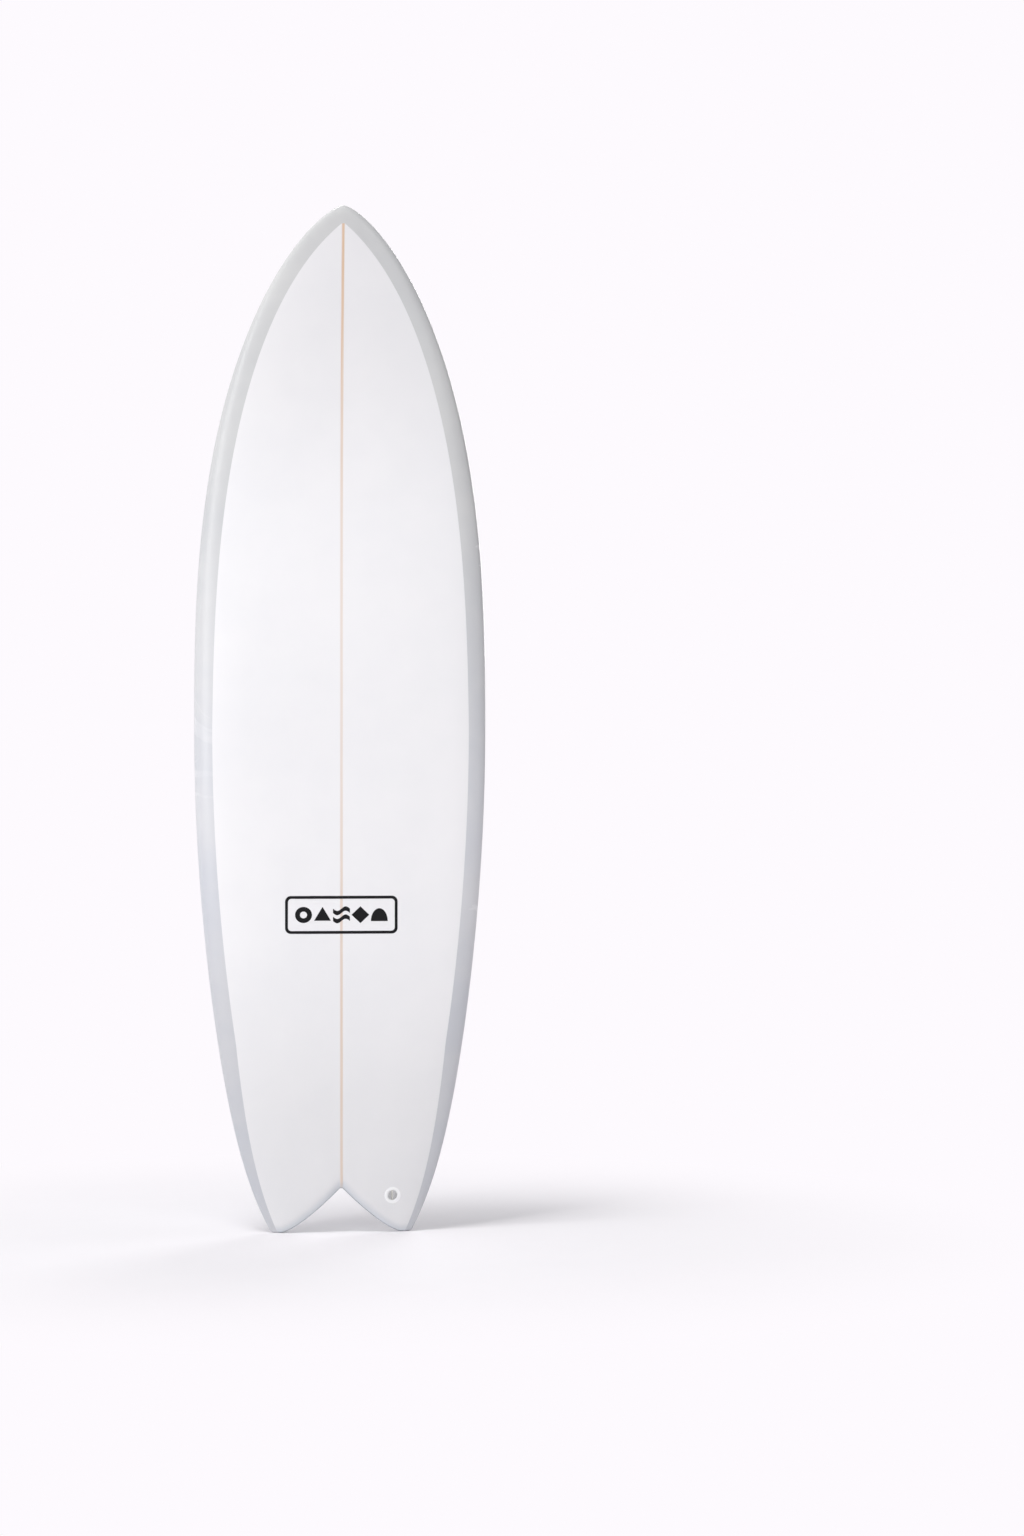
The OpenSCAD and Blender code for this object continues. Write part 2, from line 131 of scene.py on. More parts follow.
def edge_distance(x, z):
    """Distance from a point of the plan to the notch or the tail end, measured square to the edge."""
    share = clamp(1 - (x - HALF_STRINGER) / NOTCH_RUN)
    slope = np.where((x > HALF_STRINGER) & (x < NOTCH_HALF_WIDTH),
                     NOTCH_DEPTH * NOTCH_BEND / NOTCH_RUN * share ** (NOTCH_BEND - 1), 0)
    return np.maximum(0, z - notch_height(x)) / np.sqrt(1 + slope ** 2)


def rocker(z):
    """How far the board curves towards the deck: n^2.6 to the nose and t^2.2 to the tail."""
    n = clamp((z - FLAT_SPOT) / (BOARD_LENGTH - FLAT_SPOT))
    t = clamp((FLAT_SPOT - z) / FLAT_SPOT)
    return NOSE_ROCKER * n ** 2.6 + TAIL_ROCKER * t ** 2.2


def nose_share(z):
    return clamp((z - THICK_POINT) / (BOARD_LENGTH - THICK_POINT))


def tail_share(z):
    return clamp((THICK_POINT - z) / THICK_POINT)


def thickness(z):
    """Thickness along the middle, thinning with the power 1.9 to the nose and 2 to the tail."""
    return THICKNESS - (THICKNESS - NOSE_THICKNESS) * nose_share(z) ** 1.9 \
        - (THICKNESS - TAIL_THICKNESS) * tail_share(z) ** 2


def low_rail(z):
    """Share of the thickness that lies below the widest line of the rail."""
    return 0.36 + 0.06 * nose_share(z) - 0.16 * tail_share(z) ** 2


def nose_close(z):
    """Share of the thickness left near the nose, where the two faces close in a quarter round."""
    return quarter((BOARD_LENGTH - z) / NOSE_ROLL)


def middle_depth():
    """Half the depth of the whole board, which puts the middle of its depth on the origin."""
    z = np.linspace(0, BOARD_LENGTH, 201)
    return (rocker(z) + thickness(z) * mix(low_rail(z), 1, nose_close(z))).max() / 2


MIDDLE_DEPTH = middle_depth()


def rail_y(z):
    return MIDDLE_DEPTH - rocker(z) - thickness(z) * low_rail(z)


def across(x, z):
    return clamp(x / np.maximum(0.01, half_width(z)))


def deck_y(x, z):
    """Deck height: the rail line less the upper thickness, falling to the rail as (1 - u^2.4)^0.42."""
    crown = (1 - across(x, z) ** 2.4) ** 0.42
    edge = mix(DECK_WALL, 1, quarter(edge_distance(x, z) / DECK_ROLL))
    return rail_y(z) - thickness(z) * (1 - low_rail(z)) * crown * edge * nose_close(z)


def bottom_y(x, z):
    """Bottom height: nearly flat to the rail, as (1 - u^14)^0.5."""
    flat = (1 - across(x, z) ** 14) ** 0.5
    edge = mix(BOTTOM_WALL, 1, quarter(edge_distance(x, z) / BOTTOM_ROLL))
    return rail_y(z) + thickness(z) * low_rail(z) * flat * edge * nose_close(z)


# ---- mesh helpers ------------------------------------------------------------------------------
def placed(name, data):
    """A new object in the scene."""
    made = bpy.data.objects.new(name, data)
    bpy.context.scene.collection.objects.link(made)
    return made


@contextlib.contextmanager
def editing(mesh):
    """Opens a mesh for editing and writes it back afterwards."""
    tool = bmesh.new()
    tool.from_mesh(mesh)
    yield tool
    tool.to_mesh(mesh)
    tool.free()


def dress(name, mesh, body, slot, *materials):
    """Puts a mesh in the scene as a piece that rides on a body, with its materials."""
    made = placed(name, mesh)
    mesh.materials.clear()
    for material in materials:
        mesh.materials.append(material)
    mesh.shade_smooth()
    mesh.set_sharp_from_angle(angle=math.radians(38))
    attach(made, body)
    return made


def baked(source):
    """The mesh of an object with all its modifiers applied."""
    graph = bpy.context.evaluated_depsgraph_get()
    return bpy.data.meshes.new_from_object(source.evaluated_get(graph), depsgraph=graph)


def discard(*objects):
    for made in objects:
        bpy.data.objects.remove(made)


def mesh_points(mesh):
    flat = np.empty(len(mesh.vertices) * 3)
    mesh.vertices.foreach_get("co", flat)
    return flat.reshape(-1, 3)


def set_points(mesh, points):
    mesh.vertices.foreach_set("co", points.ravel())
    mesh.update()


# ---- plan of the shells: a field inside the cut line and a lap band from there to the rail -----
NOTCH_ROWS = 36
LONG_ROWS = 150
ROWS = NOTCH_ROWS + LONG_ROWS
FIELD_COLS = 28
LAP_COLS = 22
CUT_TIP = 2.7  # half width of the cut line where it ends near the nose
CUT_TOP = BOARD_LENGTH - NOSE_LAP
ARC_START = BOARD_LENGTH - 10  # height at which the rail turns over into the round nose


def ease(count):
    """Steps from 0 to 1 that are close together at both ends."""
    return (1 - np.cos(np.linspace(0, math.pi, count + 1))) / 2


def cut_x(z):
    """Cut line of the tinted lap: a band of nearly even width that meets in a point at the nose."""
    up = clamp((z - WIDE_POINT) / (CUT_TOP - WIDE_POINT))
    low = clamp(z / LAP_RISE) ** 0.8
    shoulder = LAP_WIDTH + SHOULDER_LAP * np.sin(math.pi * up)
    lap = np.where(z > WIDE_POINT, shoulder, mix(TIP_LAP, LAP_WIDTH, low))
    closing = half_width(np.float64(CUT_TOP)) - LAP_WIDTH - CUT_TIP
    return half_width(z) - lap - closing * (z / CUT_TOP) ** 24


class Plan:
    """Points and cells of the plan. Lap lines go from the port tip round the nose to the starboard tip."""

    def __init__(self):
        row_z = np.concatenate([NOTCH_DEPTH * ease(NOTCH_ROWS),
                                mix(NOTCH_DEPTH, CUT_TOP, ease(LONG_ROWS))[1:]])
        inner = np.where(np.arange(ROWS + 1) < NOTCH_ROWS, notch_x(row_z), HALF_STRINGER)
        spread = np.linspace(0, 1, FIELD_COLS + 1) ** 1.6
        field_x = mix(inner[:, None], cut_x(row_z)[:, None], spread)
        field_z = np.repeat(row_z[:, None], FIELD_COLS + 1, 1)

        lines = 2 * (ROWS + FIELD_COLS + 1)
        line = np.arange(lines)
        port = line < lines // 2
        climb = np.where(port, line, lines - 1 - line)
        row = np.minimum(climb, ROWS)
        col = FIELD_COLS - np.maximum(0, climb - ROWS)
        rail_z = row_z + (ARC_START - CUT_TOP) * (row_z / CUT_TOP) ** 8
        arc_x = mix(HALF_STRINGER, float(half_width(np.float64(ARC_START))), col / FIELD_COLS)
        end_x = np.where(climb <= ROWS, half_width(rail_z[row]), arc_x)
        end_z = np.where(climb <= ROWS, rail_z[row], nose_height(arc_x))
        step = 1 - (1 - np.linspace(0, 1, LAP_COLS + 1)[1:]) ** 2
        lap_x = mix(field_x[row, col][:, None], end_x[:, None], step)
        lap_z = mix(field_z[row, col][:, None], end_z[:, None], step)

        self.x = np.concatenate([field_x.ravel(), field_x.ravel(), lap_x.ravel()])
        self.z = np.concatenate([field_z.ravel(), field_z.ravel(), lap_z.ravel()])
        self.side = np.concatenate([np.full(field_x.size, -1), np.full(field_x.size, 1),
                                    np.repeat(np.where(port, -1, 1), LAP_COLS)])
        self.size = len(self.x)
        self.field = np.arange(2 * field_x.size).reshape(2, ROWS + 1, FIELD_COLS + 1)
        edge = np.where(port, self.field[0][row, col], self.field[1][row, col])
        band = 2 * field_x.size + np.arange(lap_x.size).reshape(lines, LAP_COLS)
        self.band = np.column_stack([edge, band])

    def field_cells(self):
        port, starboard = self.field
        spine = np.column_stack([port[NOTCH_ROWS:, 0], starboard[NOTCH_ROWS:, 0]])
        return np.concatenate([cells(port)[:, ::-1], cells(starboard), cells(spine)])

    def notch_edge(self):
        """Points along the notch from the port tip up to its top and down to the starboard tip."""
        port, starboard = self.field
        return np.concatenate([port[:NOTCH_ROWS + 1, 0], starboard[NOTCH_ROWS::-1, 0]])

    def point(self, height):
        return np.column_stack([self.side * self.x, height(self.x, self.z), self.z])


def cells(grid):
    """Four-sided cells of a grid of point numbers, anticlockwise when columns run right and rows up."""
    return np.stack([grid[:-1, :-1], grid[:-1, 1:], grid[1:, 1:], grid[1:, :-1]], -1).reshape(-1, 4)


def strip(first, second):
    """Cells of a band between two lists of point numbers."""
    return cells(np.column_stack([first, second]))


def deck_sheet(plan):
    """The clear glass: the field of the deck, the walls of the notch and the ends of the tips."""
    low = plan.size
    notch, ends = plan.notch_edge(), plan.field[:, 0, :]
    faces = [plan.field_cells(), strip(notch, notch + low),
             strip(ends[0] + low, ends[0]), strip(ends[1], ends[1] + low)]
    return np.concatenate([plan.point(deck_y), plan.point(bottom_y)]), np.concatenate(faces)


def bottom_sheet(plan):
    """The tinted glass: the laps on the deck, the rails, the bottom and the outer ends of the tips."""
    low = plan.size
    under = plan.band + low
    under[:, -1] = plan.band[:, -1]
    first, last = plan.band[0], plan.band[-1]
    faces = [cells(plan.band)[:, ::-1], cells(under), plan.field_cells()[:, ::-1] + low,
             strip(first, under[0]), strip(under[-1], last)]
    return np.concatenate([plan.point(deck_y), plan.point(bottom_y)]), np.concatenate(faces)


def girth(plan):
    """Distance round the board from the middle of the bottom, starboard positive, at each point.

    On the field it is the distance from the centre line. On the laps the steps along each lap line are
    added up, first out along the bottom to the rail and then back in over the deck.
    """
    low, deck = plan.point(bottom_y), plan.point(deck_y)
    out = np.abs(plan.x)
    over = out.copy()
    lows = np.linalg.norm(np.diff(low[plan.band], axis=1), axis=2)
    tops = np.linalg.norm(np.diff(deck[plan.band], axis=1), axis=2)
    start = out[plan.band[:, 0]][:, None]
    out[plan.band[:, 1:]] = start + np.cumsum(lows, 1)
    rail = start + lows.sum(1)[:, None]
    over[plan.band] = rail + np.cumsum(np.column_stack([np.zeros(len(tops)), tops[:, ::-1]]), 1)[:, ::-1]
    return np.concatenate([over * plan.side, out * plan.side])


def shell(name, points, faces, height_sign, cutters, slot, material, reach):
    """A sheet given the thickness of the glass, with the openings for what is let into it.

    Its map "unrolled" holds a distance along the surface, given as reach, and the height on the board.
    height_sign is the side along Y that the sheet's outer face looks to.
    """
    used, index = np.unique(faces, return_inverse=True)
    mesh = bpy.data.meshes.new(name)
    mesh.from_pydata((points[used] * MM).tolist(), [], index.reshape(faces.shape).tolist())
    layer = mesh.uv_layers.new(name="unrolled")
    corner = np.empty(len(mesh.loops), np.int32)
    mesh.loops.foreach_get("vertex_index", corner)
    flat = np.column_stack([reach[used], points[used][:, 2]]) * MM
    layer.data.foreach_set("uv", flat[corner].ravel())
    with editing(mesh) as tool:
        bmesh.ops.recalc_face_normals(tool, faces=tool.faces)
        sample = max(tool.faces, key=lambda face: abs(face.normal.y) * face.calc_area())
        if sample.normal.y * height_sign < 0:
            bmesh.ops.reverse_faces(tool, faces=tool.faces)
    raw = placed(name + "_raw", mesh)
    wall = raw.modifiers.new("glass", "SOLIDIFY")
    wall.thickness, wall.offset = GLASS * MM, -1
    for cutter in cutters:
        opening = raw.modifiers.new("opening", "BOOLEAN")
        opening.object, opening.solver = cutter, "EXACT"
    finished = baked(raw)
    discard(raw)
    finished.name = name
    return dress(name, finished, "board", slot, material)


# ---- node helpers ------------------------------------------------------------------------------
def add(tree, kind, inputs=(), **settings):
    """A node of a tree. Each input is a value or the output socket that feeds it."""
    made = tree.nodes.new("ShaderNode" + kind)
    for name, value in settings.items():
        setattr(made, name, value)
    for name, value in dict(inputs).items():
        if isinstance(value, bpy.types.NodeSocket):
            tree.links.new(value, made.inputs[name])
        else:
            made.inputs[name].default_value = value
    return made


def calc(tree, operation, *values, limit=False):
    """Output of one arithmetic step."""
    return add(tree, "Math", enumerate(values), operation=operation, use_clamp=limit).outputs[0]


def ramp(tree, value, low, high, to_low=0.0, to_high=1.0):
    """Smooth change from one value to another while the input goes from low to high."""
    return add(tree, "MapRange", {"Value": value, "From Min": low, "From Max": high, "To Min": to_low,
                                  "To Max": to_high}, interpolation_type="SMOOTHSTEP").outputs["Result"]


def blend_colour(tree, share, first, second, mode="MIX"):
    """Two colours mixed by a share, each a colour or a socket."""
    made = add(tree, "Mix", data_type="RGBA", blend_type=mode)
    sockets = {s.identifier: s for s in made.inputs}
    given = {"Factor_Float": share, "A_Color": first, "B_Color": second}
    for name, value in given.items():
        if isinstance(value, bpy.types.NodeSocket):
            tree.links.new(value, sockets[name])
        else:
            sockets[name].default_value = value if name == "Factor_Float" else (*value, 1)
    return next(s for s in made.outputs if s.identifier == "Result_Color")


def parts_of(tree, vector):
    split = add(tree, "SeparateXYZ", {"Vector": vector})
    return split.outputs["X"], split.outputs["Y"], split.outputs["Z"]


def stretched(tree, vector, scale, turn=(0, 0, 0)):
    return add(tree, "Mapping", {"Vector": vector, "Scale": scale, "Rotation": turn}).outputs["Vector"]


def group(name, ins, outs, build):
    """A shader node group with named inputs and outputs. build fills it and returns the output sockets."""
    tree = bpy.data.node_groups.new(name, "ShaderNodeTree")
    for label, (kind, value) in ins.items():
        socket = tree.interface.new_socket(label, in_out="INPUT", socket_type="NodeSocket" + kind)
        if value is not None:
            socket.default_value = value
    for label, kind in outs.items():
        tree.interface.new_socket(label, in_out="OUTPUT", socket_type="NodeSocket" + kind)
    entry, leave = tree.nodes.new("NodeGroupInput"), tree.nodes.new("NodeGroupOutput")
    for label, socket in build(tree, entry.outputs).items():
        tree.links.new(socket, leave.inputs[label])
    return tree


def use(tree, shared, **inputs):
    made = tree.nodes.new("ShaderNodeGroup")
    made.node_tree = shared
    for label, value in inputs.items():
        if isinstance(value, bpy.types.NodeSocket):
            tree.links.new(value, made.inputs[label])
        else:
            made.inputs[label].default_value = value
    return made.outputs


def finish_of(name, **values):
    """A new material with plain values on its shader: also its tree, its shader and the object's place."""
    material = bpy.data.materials.new(name)
    material.use_nodes = True
    tree = material.node_tree
    shader = tree.nodes["Principled BSDF"]
    for label, value in values.items():
        shader.inputs[label.replace("_", " ")].default_value = value
    return material, tree, shader, add(tree, "TexCoord").outputs["Object"]


def feed(tree, shader, **sockets):
    for label, socket in sockets.items():
        tree.links.new(socket, shader.inputs[label.replace("_", " ")])


# ---- effects that several finishes share -------------------------------------------------------
def build_clouding(tree, given):
    """Soft clouds: slow noise with a little of a faster one."""
    slow = add(tree, "TexNoise", {"Vector": given["Place"], "Scale": given["Scale"], "Detail": 3.0})
    fast = calc(tree, "MULTIPLY", given["Scale"], 5.3)
    fine = add(tree, "TexNoise", {"Vector": given["Place"], "Scale": fast, "Detail": 2.0})
    mixed = calc(tree, "ADD", calc(tree, "MULTIPLY", slow.outputs["Fac"], 0.75),
                 calc(tree, "MULTIPLY", fine.outputs["Fac"], 0.25))
    return {"Cloud": ramp(tree, mixed, 0.3, 0.7)}


def build_weave(tree, given):
    """Glass cloth under resin: the product of two crossing ripples, shown in patches."""
    x, _, z = parts_of(tree, given["Place"])
    pitch = given["Pitch"]
    warp = calc(tree, "SINE", calc(tree, "DIVIDE", x, pitch))
    weft = calc(tree, "SINE", calc(tree, "DIVIDE", z, pitch))
    patches = add(tree, "TexNoise", {"Vector": given["Place"], "Scale": 14.0, "Detail": 2.0})
    shown = ramp(tree, patches.outputs["Fac"], 0.42, 0.68)
    threads = calc(tree, "MULTIPLY", calc(tree, "MULTIPLY", warp, weft), shown)
    return {"Height": threads}


def build_wood_line(tree, given):
    """The stringer seen through the glass: a soft-edged line with long grain, faint in mid length."""
    x, _, z = parts_of(tree, given["Place"])
    side = calc(tree, "ABSOLUTE", x)
    line = ramp(tree, side, HALF_STRINGER * MM * 0.55, HALF_STRINGER * MM * 1.5, 1.0, 0.0)
    grain = add(tree, "TexNoise", {"Vector": stretched(tree, given["Place"], (900, 60, 9)), "Scale": 1.0,
                                   "Detail": 4.0}).outputs["Fac"]
    depth = ramp(tree, z, 0.15, 1.75, 0.62, 1.0)
    middle = ramp(tree, calc(tree, "ABSOLUTE", calc(tree, "SUBTRACT", z, 1.05)), 0.1, 0.7, 0.52, 1.0)
    share = calc(tree, "MULTIPLY", calc(tree, "MULTIPLY", line, depth), middle)
    grained = calc(tree, "MULTIPLY", share, ramp(tree, grain, 0.3, 0.7, 0.82, 1.08))
    return {"Line": calc(tree, "MULTIPLY", grained, given["Strength"], limit=True)}


def build_streak(tree, given):
    """One streak of white resin: full on its centre curve, brighter at its rim, then feathered."""
    away = calc(tree, "ABSOLUTE", calc(tree, "SUBTRACT", given["Height"], given["Centre"]))
    width = calc(tree, "MAXIMUM", given["Half_width"], 0.00001)
    ratio = calc(tree, "DIVIDE", away, width)
    body = ramp(tree, ratio, 0.35, 1.15, 1.0, 0.0)
    off_rim = calc(tree, "ABSOLUTE", calc(tree, "SUBTRACT", ratio, 0.85))
    rim = calc(tree, "MULTIPLY", ramp(tree, off_rim, 0.0, 0.28, 1.0, 0.0), 0.45)
    there = ramp(tree, given["Half_width"], 0.0002, 0.0012)
    shape = calc(tree, "ADD", calc(tree, "MULTIPLY", body, given["Strength"]),
                 calc(tree, "MULTIPLY", rim, given["Strength"]))
    return {"Mask": calc(tree, "MULTIPLY", shape, there, limit=True)}


clouding = group("clouding", {"Place": ("Vector", None), "Scale": ("Float", 3.0)}, {"Cloud": "Float"},
                 build_clouding)
weave = group("glass_weave", {"Place": ("Vector", None), "Pitch": ("Float", 0.0004)}, {"Height": "Float"},
              build_weave)
wood_line = group("stringer_line", {"Place": ("Vector", None), "Strength": ("Float", 1.0)},
                  {"Line": "Float"}, build_wood_line)
streak = group("resin_streak", {"Height": ("Float", 0.0), "Centre": ("Float", 0.0),
                                "Half_width": ("Float", 0.0), "Strength": ("Float", 1.0)},
               {"Mask": "Float"}, build_streak)

# ---- white resin streaks across the bottom -----------------------------------------------------
# Each streak is a strength and its points: distance round the board from the middle of the bottom,
# starboard positive, height above the tail tips, and half the streak's width.
STREAKS = [
    (0.72, [(192, 1204, 0), (187, 1204, 11), (176, 1201, 21), (154, 1192, 28), (112, 1172, 24),
            (52, 1149, 21), (0, 1115, 18), (-88, 1039, 16), (-166, 975, 14), (-206, 940, 13),
            (-262, 892, 12), (-330, 848, 6)]),
    (0.62, [(262, 1168, 2), (234, 1139, 7), (194, 1106, 7), (111, 1091, 4), (24, 1072, 3), (-31, 1051, 3),
            (-88, 1016, 2.5), (-150, 985, 1)]),
    (0.75, [(70, 1204, 1), (55, 1198, 3), (-28, 1131, 4), (-68, 1103, 4), (-128, 1051, 3.5),
            (-160, 1020, 4), (-177, 994, 4), (-191, 990, 3), (-215, 964, 4), (-250, 916, 4),
            (-330, 862, 1)]),
    (0.50, [(0, 1160, 0), (-9, 1155, 1.5), (-88, 1103, 2), (-151, 1059, 2), (-206, 1011, 2),
            (-250, 948, 2), (-300, 900, 1)]),
    (0.50, [(236, 1270, 1), (217, 1261, 4), (140, 1236, 7), (95, 1221, 8), (50, 1207, 6), (0, 1184, 3),
            (-16, 1176, 0)]),
    (0.55, [(262, 1196, 5), (236, 1184, 13), (200, 1170, 16), (166, 1158, 9), (120, 1146, 0)]),
    (0.70, [(270, 560, 2), (231, 574, 8), (191, 586, 10), (151, 607, 10), (111, 619, 9), (71, 647, 9),
            (-9, 685, 8), (-68, 713, 9), (-128, 740, 9), (-166, 761, 9), (-206, 784, 8), (-250, 797, 7),
            (-330, 800, 2)]),
    (0.60, [(217, 621, 2), (199, 642, 4), (175, 661, 4), (99, 681, 4), (64, 711, 3.5), (12, 725, 3.5),
            (-28, 740, 3), (-76, 768, 3.5), (-139, 780, 4), (-199, 799, 4), (-240, 820, 3),
            (-270, 836, 1)]),
    (0.55, [(215, 606, 0), (206, 610, 3), (172, 624, 4), (111, 647, 3.5), (31, 669, 2.5), (-30, 700, 0)]),
    (0.60, [(240, 548, 1), (172, 569, 4), (111, 593, 4), (49, 621, 3.5), (0, 649, 3.5),
            (-40, 669, 3), (-88, 701, 3.5), (-144, 725, 4), (-187, 753, 4), (-250, 768, 3),
            (-330, 754, 2)]),
    (0.45, [(262, 566, 4), (229, 560, 9), (206, 574, 8), (187, 584, 0)]),
    (0.35, [(240, 536, 1), (205, 524, 3), (170, 512, 3), (137, 498, 0)]),
    (0.55, [(-206, 826, 0), (-215, 842, 3), (-228, 856, 4), (-246, 838, 3), (-262, 820, 2),
            (-300, 846, 0)]),
]
# What the curves of the streaks range over: all the way round the board, up it, and half a width.
GIRTH_SPAN, HEIGHT_SPAN, WIDTH_SPAN = 700, 1400, 50


def curve_of(tree, across_share, points):
    """A smooth curve through points given as shares of the spans."""
    made = add(tree, "FloatCurve", {"Value": across_share})
    line = made.mapping.curves[0]
    while len(line.points) < len(points):
        line.points.new(0.5, 0.5)
    for dot, (x, y) in zip(line.points, sorted(points)):
        dot.location = (x, y)
        dot.handle_type = "AUTO_CLAMPED"
    made.mapping.extend = "HORIZONTAL"
    made.mapping.update()
    return made.outputs[0]


def streak_mask(tree):
    """All streaks together, with uneven edges and density, and fainter where they pass over the rails."""
    flat = add(tree, "UVMap", uv_map="unrolled").outputs["UV"]
    wander = add(tree, "TexNoise", {"Vector": flat, "Scale": 9.0, "Detail": 3.0}, noise_dimensions="2D")
    tremble = add(tree, "TexNoise", {"Vector": flat, "Scale": 45.0, "Detail": 2.0}, noise_dimensions="2D")
    around, height, _ = parts_of(tree, flat)
    for noise, reach in ((wander, 0.034), (tremble, 0.006)):
        swing = calc(tree, "MULTIPLY", calc(tree, "SUBTRACT", noise.outputs["Fac"], 0.5), reach)
        height = calc(tree, "ADD", height, swing)
    share = calc(tree, "DIVIDE", calc(tree, "ADD", around, GIRTH_SPAN / 2 * MM), GIRTH_SPAN * MM)
    total = None
    for strength, points in STREAKS:
        sides = [girth_at / GIRTH_SPAN + 0.5 for girth_at, _, _ in points]
        centre = curve_of(tree, share, [(s, p[1] / HEIGHT_SPAN) for s, p in zip(sides, points)])
        ends = [(min(sides) - 0.012, 0), (max(sides) + 0.012, 0)]
        width = curve_of(tree, share, ends + [(s, p[2] / WIDTH_SPAN) for s, p in zip(sides, points)])
        mask = use(tree, streak, Height=height, Strength=strength,
                   Centre=calc(tree, "MULTIPLY", centre, HEIGHT_SPAN * MM),
                   Half_width=calc(tree, "MULTIPLY", width, WIDTH_SPAN * MM))["Mask"]
        total = mask if total is None else calc(tree, "MAXIMUM", total, mask)
    turned = stretched(tree, flat, (9, 60, 1), (0, 0, math.radians(-28)))
    wisps = add(tree, "TexNoise", {"Vector": turned, "Scale": 1.0, "Detail": 4.0}, noise_dimensions="2D")
    total = calc(tree, "MULTIPLY", total, ramp(tree, wisps.outputs["Fac"], 0.3, 0.62, 0.66, 1.0))
    over_rail = ramp(tree, calc(tree, "ABSOLUTE", around), 0.258, 0.285, 1.0, 0.3)
    return calc(tree, "MULTIPLY", total, over_rail)


# ---- finishes ----------------------------------------------------------------------------------
def bump(tree, shader, height, strength, distance):
    made = add(tree, "Bump", {"Height": height, "Strength": strength, "Distance": distance})
    feed(tree, shader, Normal=made.outputs["Normal"])


def clear_over_foam():
    """White foam and the wooden stringer under clear cloth and a sanded gloss coat.

    Along the tail edge a bluish grey is painted in as shade where the deck rolls down towards the floor,
    and the wall of the notch and the ends of the tips are painted dark as shade. Painted shade also
    darkens the white towards the tail and the nose, where the light falls off.
    """
    made, tree, shader, place = finish_of("clear_glass_on_foam", Coat_Weight=0.5, Coat_Roughness=0.24,
                                          Specular_IOR_Level=0.35)
    cloud = use(tree, clouding, Place=place, Scale=3.2)["Cloud"]
    white = blend_colour(tree, cloud, (0.885, 0.885, 0.90), (0.925, 0.92, 0.93))
    _, _, height = parts_of(tree, place)
    # painted shade: the white is darker towards the tail and the nose, where the light falls off
    ends = calc(tree, "MULTIPLY", ramp(tree, height, 0.15, 0.55, 0.90, 1.0),
                ramp(tree, height, 1.2, 1.6, 1.0, 0.91))
    white = blend_colour(tree, 1.0, white, ends, "MULTIPLY")
    line = use(tree, wood_line, Place=place, Strength=0.92)["Line"]
    wooded = blend_colour(tree, line, white, (0.70, 0.47, 0.30))
    edge, _, _ = parts_of(tree, add(tree, "UVMap", uv_map="unrolled").outputs["UV"])
    # painted shade: a bluish grey along the tail edge, where the deck rolls down towards the shaded floor
    painted_roll_shade = blend_colour(tree, ramp(tree, edge, 0.001, 0.016, 0.55, 0.0), wooded, (0.52, 0.57, 0.63))
    # painted shade: the wall of the notch and the ends of the tips are painted dark
    colour = blend_colour(tree, ramp(tree, edge, 0.0004, 0.0022, 0.9, 0.0), painted_roll_shade, (0.30, 0.33, 0.37))
    feed(tree, shader, Base_Color=colour, Roughness=ramp(tree, cloud, 0, 1, 0.40, 0.48))
    bump(tree, shader, use(tree, weave, Place=place, Pitch=0.0005)["Height"], 0.06, 0.0002)
    return made


# The rail of the nose, between its deck and its bottom, as a straight line: drop x height + middle.
LINE_LOW, LINE_HIGH = 1745, 1776
NOSE_DROP = float(rail_y(LINE_HIGH) - rail_y(LINE_LOW)) / (LINE_HIGH - LINE_LOW)
NOSE_MIDDLE = (float(rail_y(LINE_LOW)) - NOSE_DROP * LINE_LOW) * MM


def tinted_glass():
    """Grey tinted resin, greener at the nose and bluer at the tail, clouded, with white streaks."""
    made, tree, shader, place = finish_of("grey_tinted_glass", Coat_Weight=0.7, Coat_Roughness=0.28,
                                          Specular_IOR_Level=0.4)
    _, side, height = parts_of(tree, place)
    cloud = use(tree, clouding, Place=place, Scale=4.5)["Cloud"]
    fade = ramp(tree, height, 0.5, 1.5)
    thin = blend_colour(tree, fade, (0.735, 0.74, 0.765), (0.655, 0.66, 0.655))
    deep = blend_colour(tree, fade, (0.66, 0.68, 0.73), (0.585, 0.595, 0.60))
    # painted shade: the tint is darker towards the tail and a little towards the nose, where the light
    # falls off
    ends = calc(tree, "MULTIPLY", ramp(tree, height, 0.2, 0.85, 0.83, 1.0),
                ramp(tree, height, 1.45, 1.75, 1.0, 0.96))
    tint = blend_colour(tree, 1.0, blend_colour(tree, cloud, deep, thin), ends, "MULTIPLY")
    below = calc(tree, "SUBTRACT", side, calc(tree, "MULTIPLY", height, NOSE_DROP))
    under = calc(tree, "MAXIMUM", calc(tree, "GREATER_THAN", below, NOSE_MIDDLE),
                 calc(tree, "LESS_THAN", height, LINE_LOW * MM))
    line = calc(tree, "MULTIPLY", use(tree, wood_line, Place=place, Strength=0.55)["Line"], under)
    wooded = blend_colour(tree, line, tint, (0.50, 0.40, 0.33))
    colour = blend_colour(tree, streak_mask(tree), wooded, (0.86, 0.86, 0.88))
    feed(tree, shader, Base_Color=colour, Roughness=ramp(tree, cloud, 0, 1, 0.36, 0.44))
    bump(tree, shader, use(tree, weave, Place=place, Pitch=0.0005)["Height"], 0.06, 0.0002)
    return made


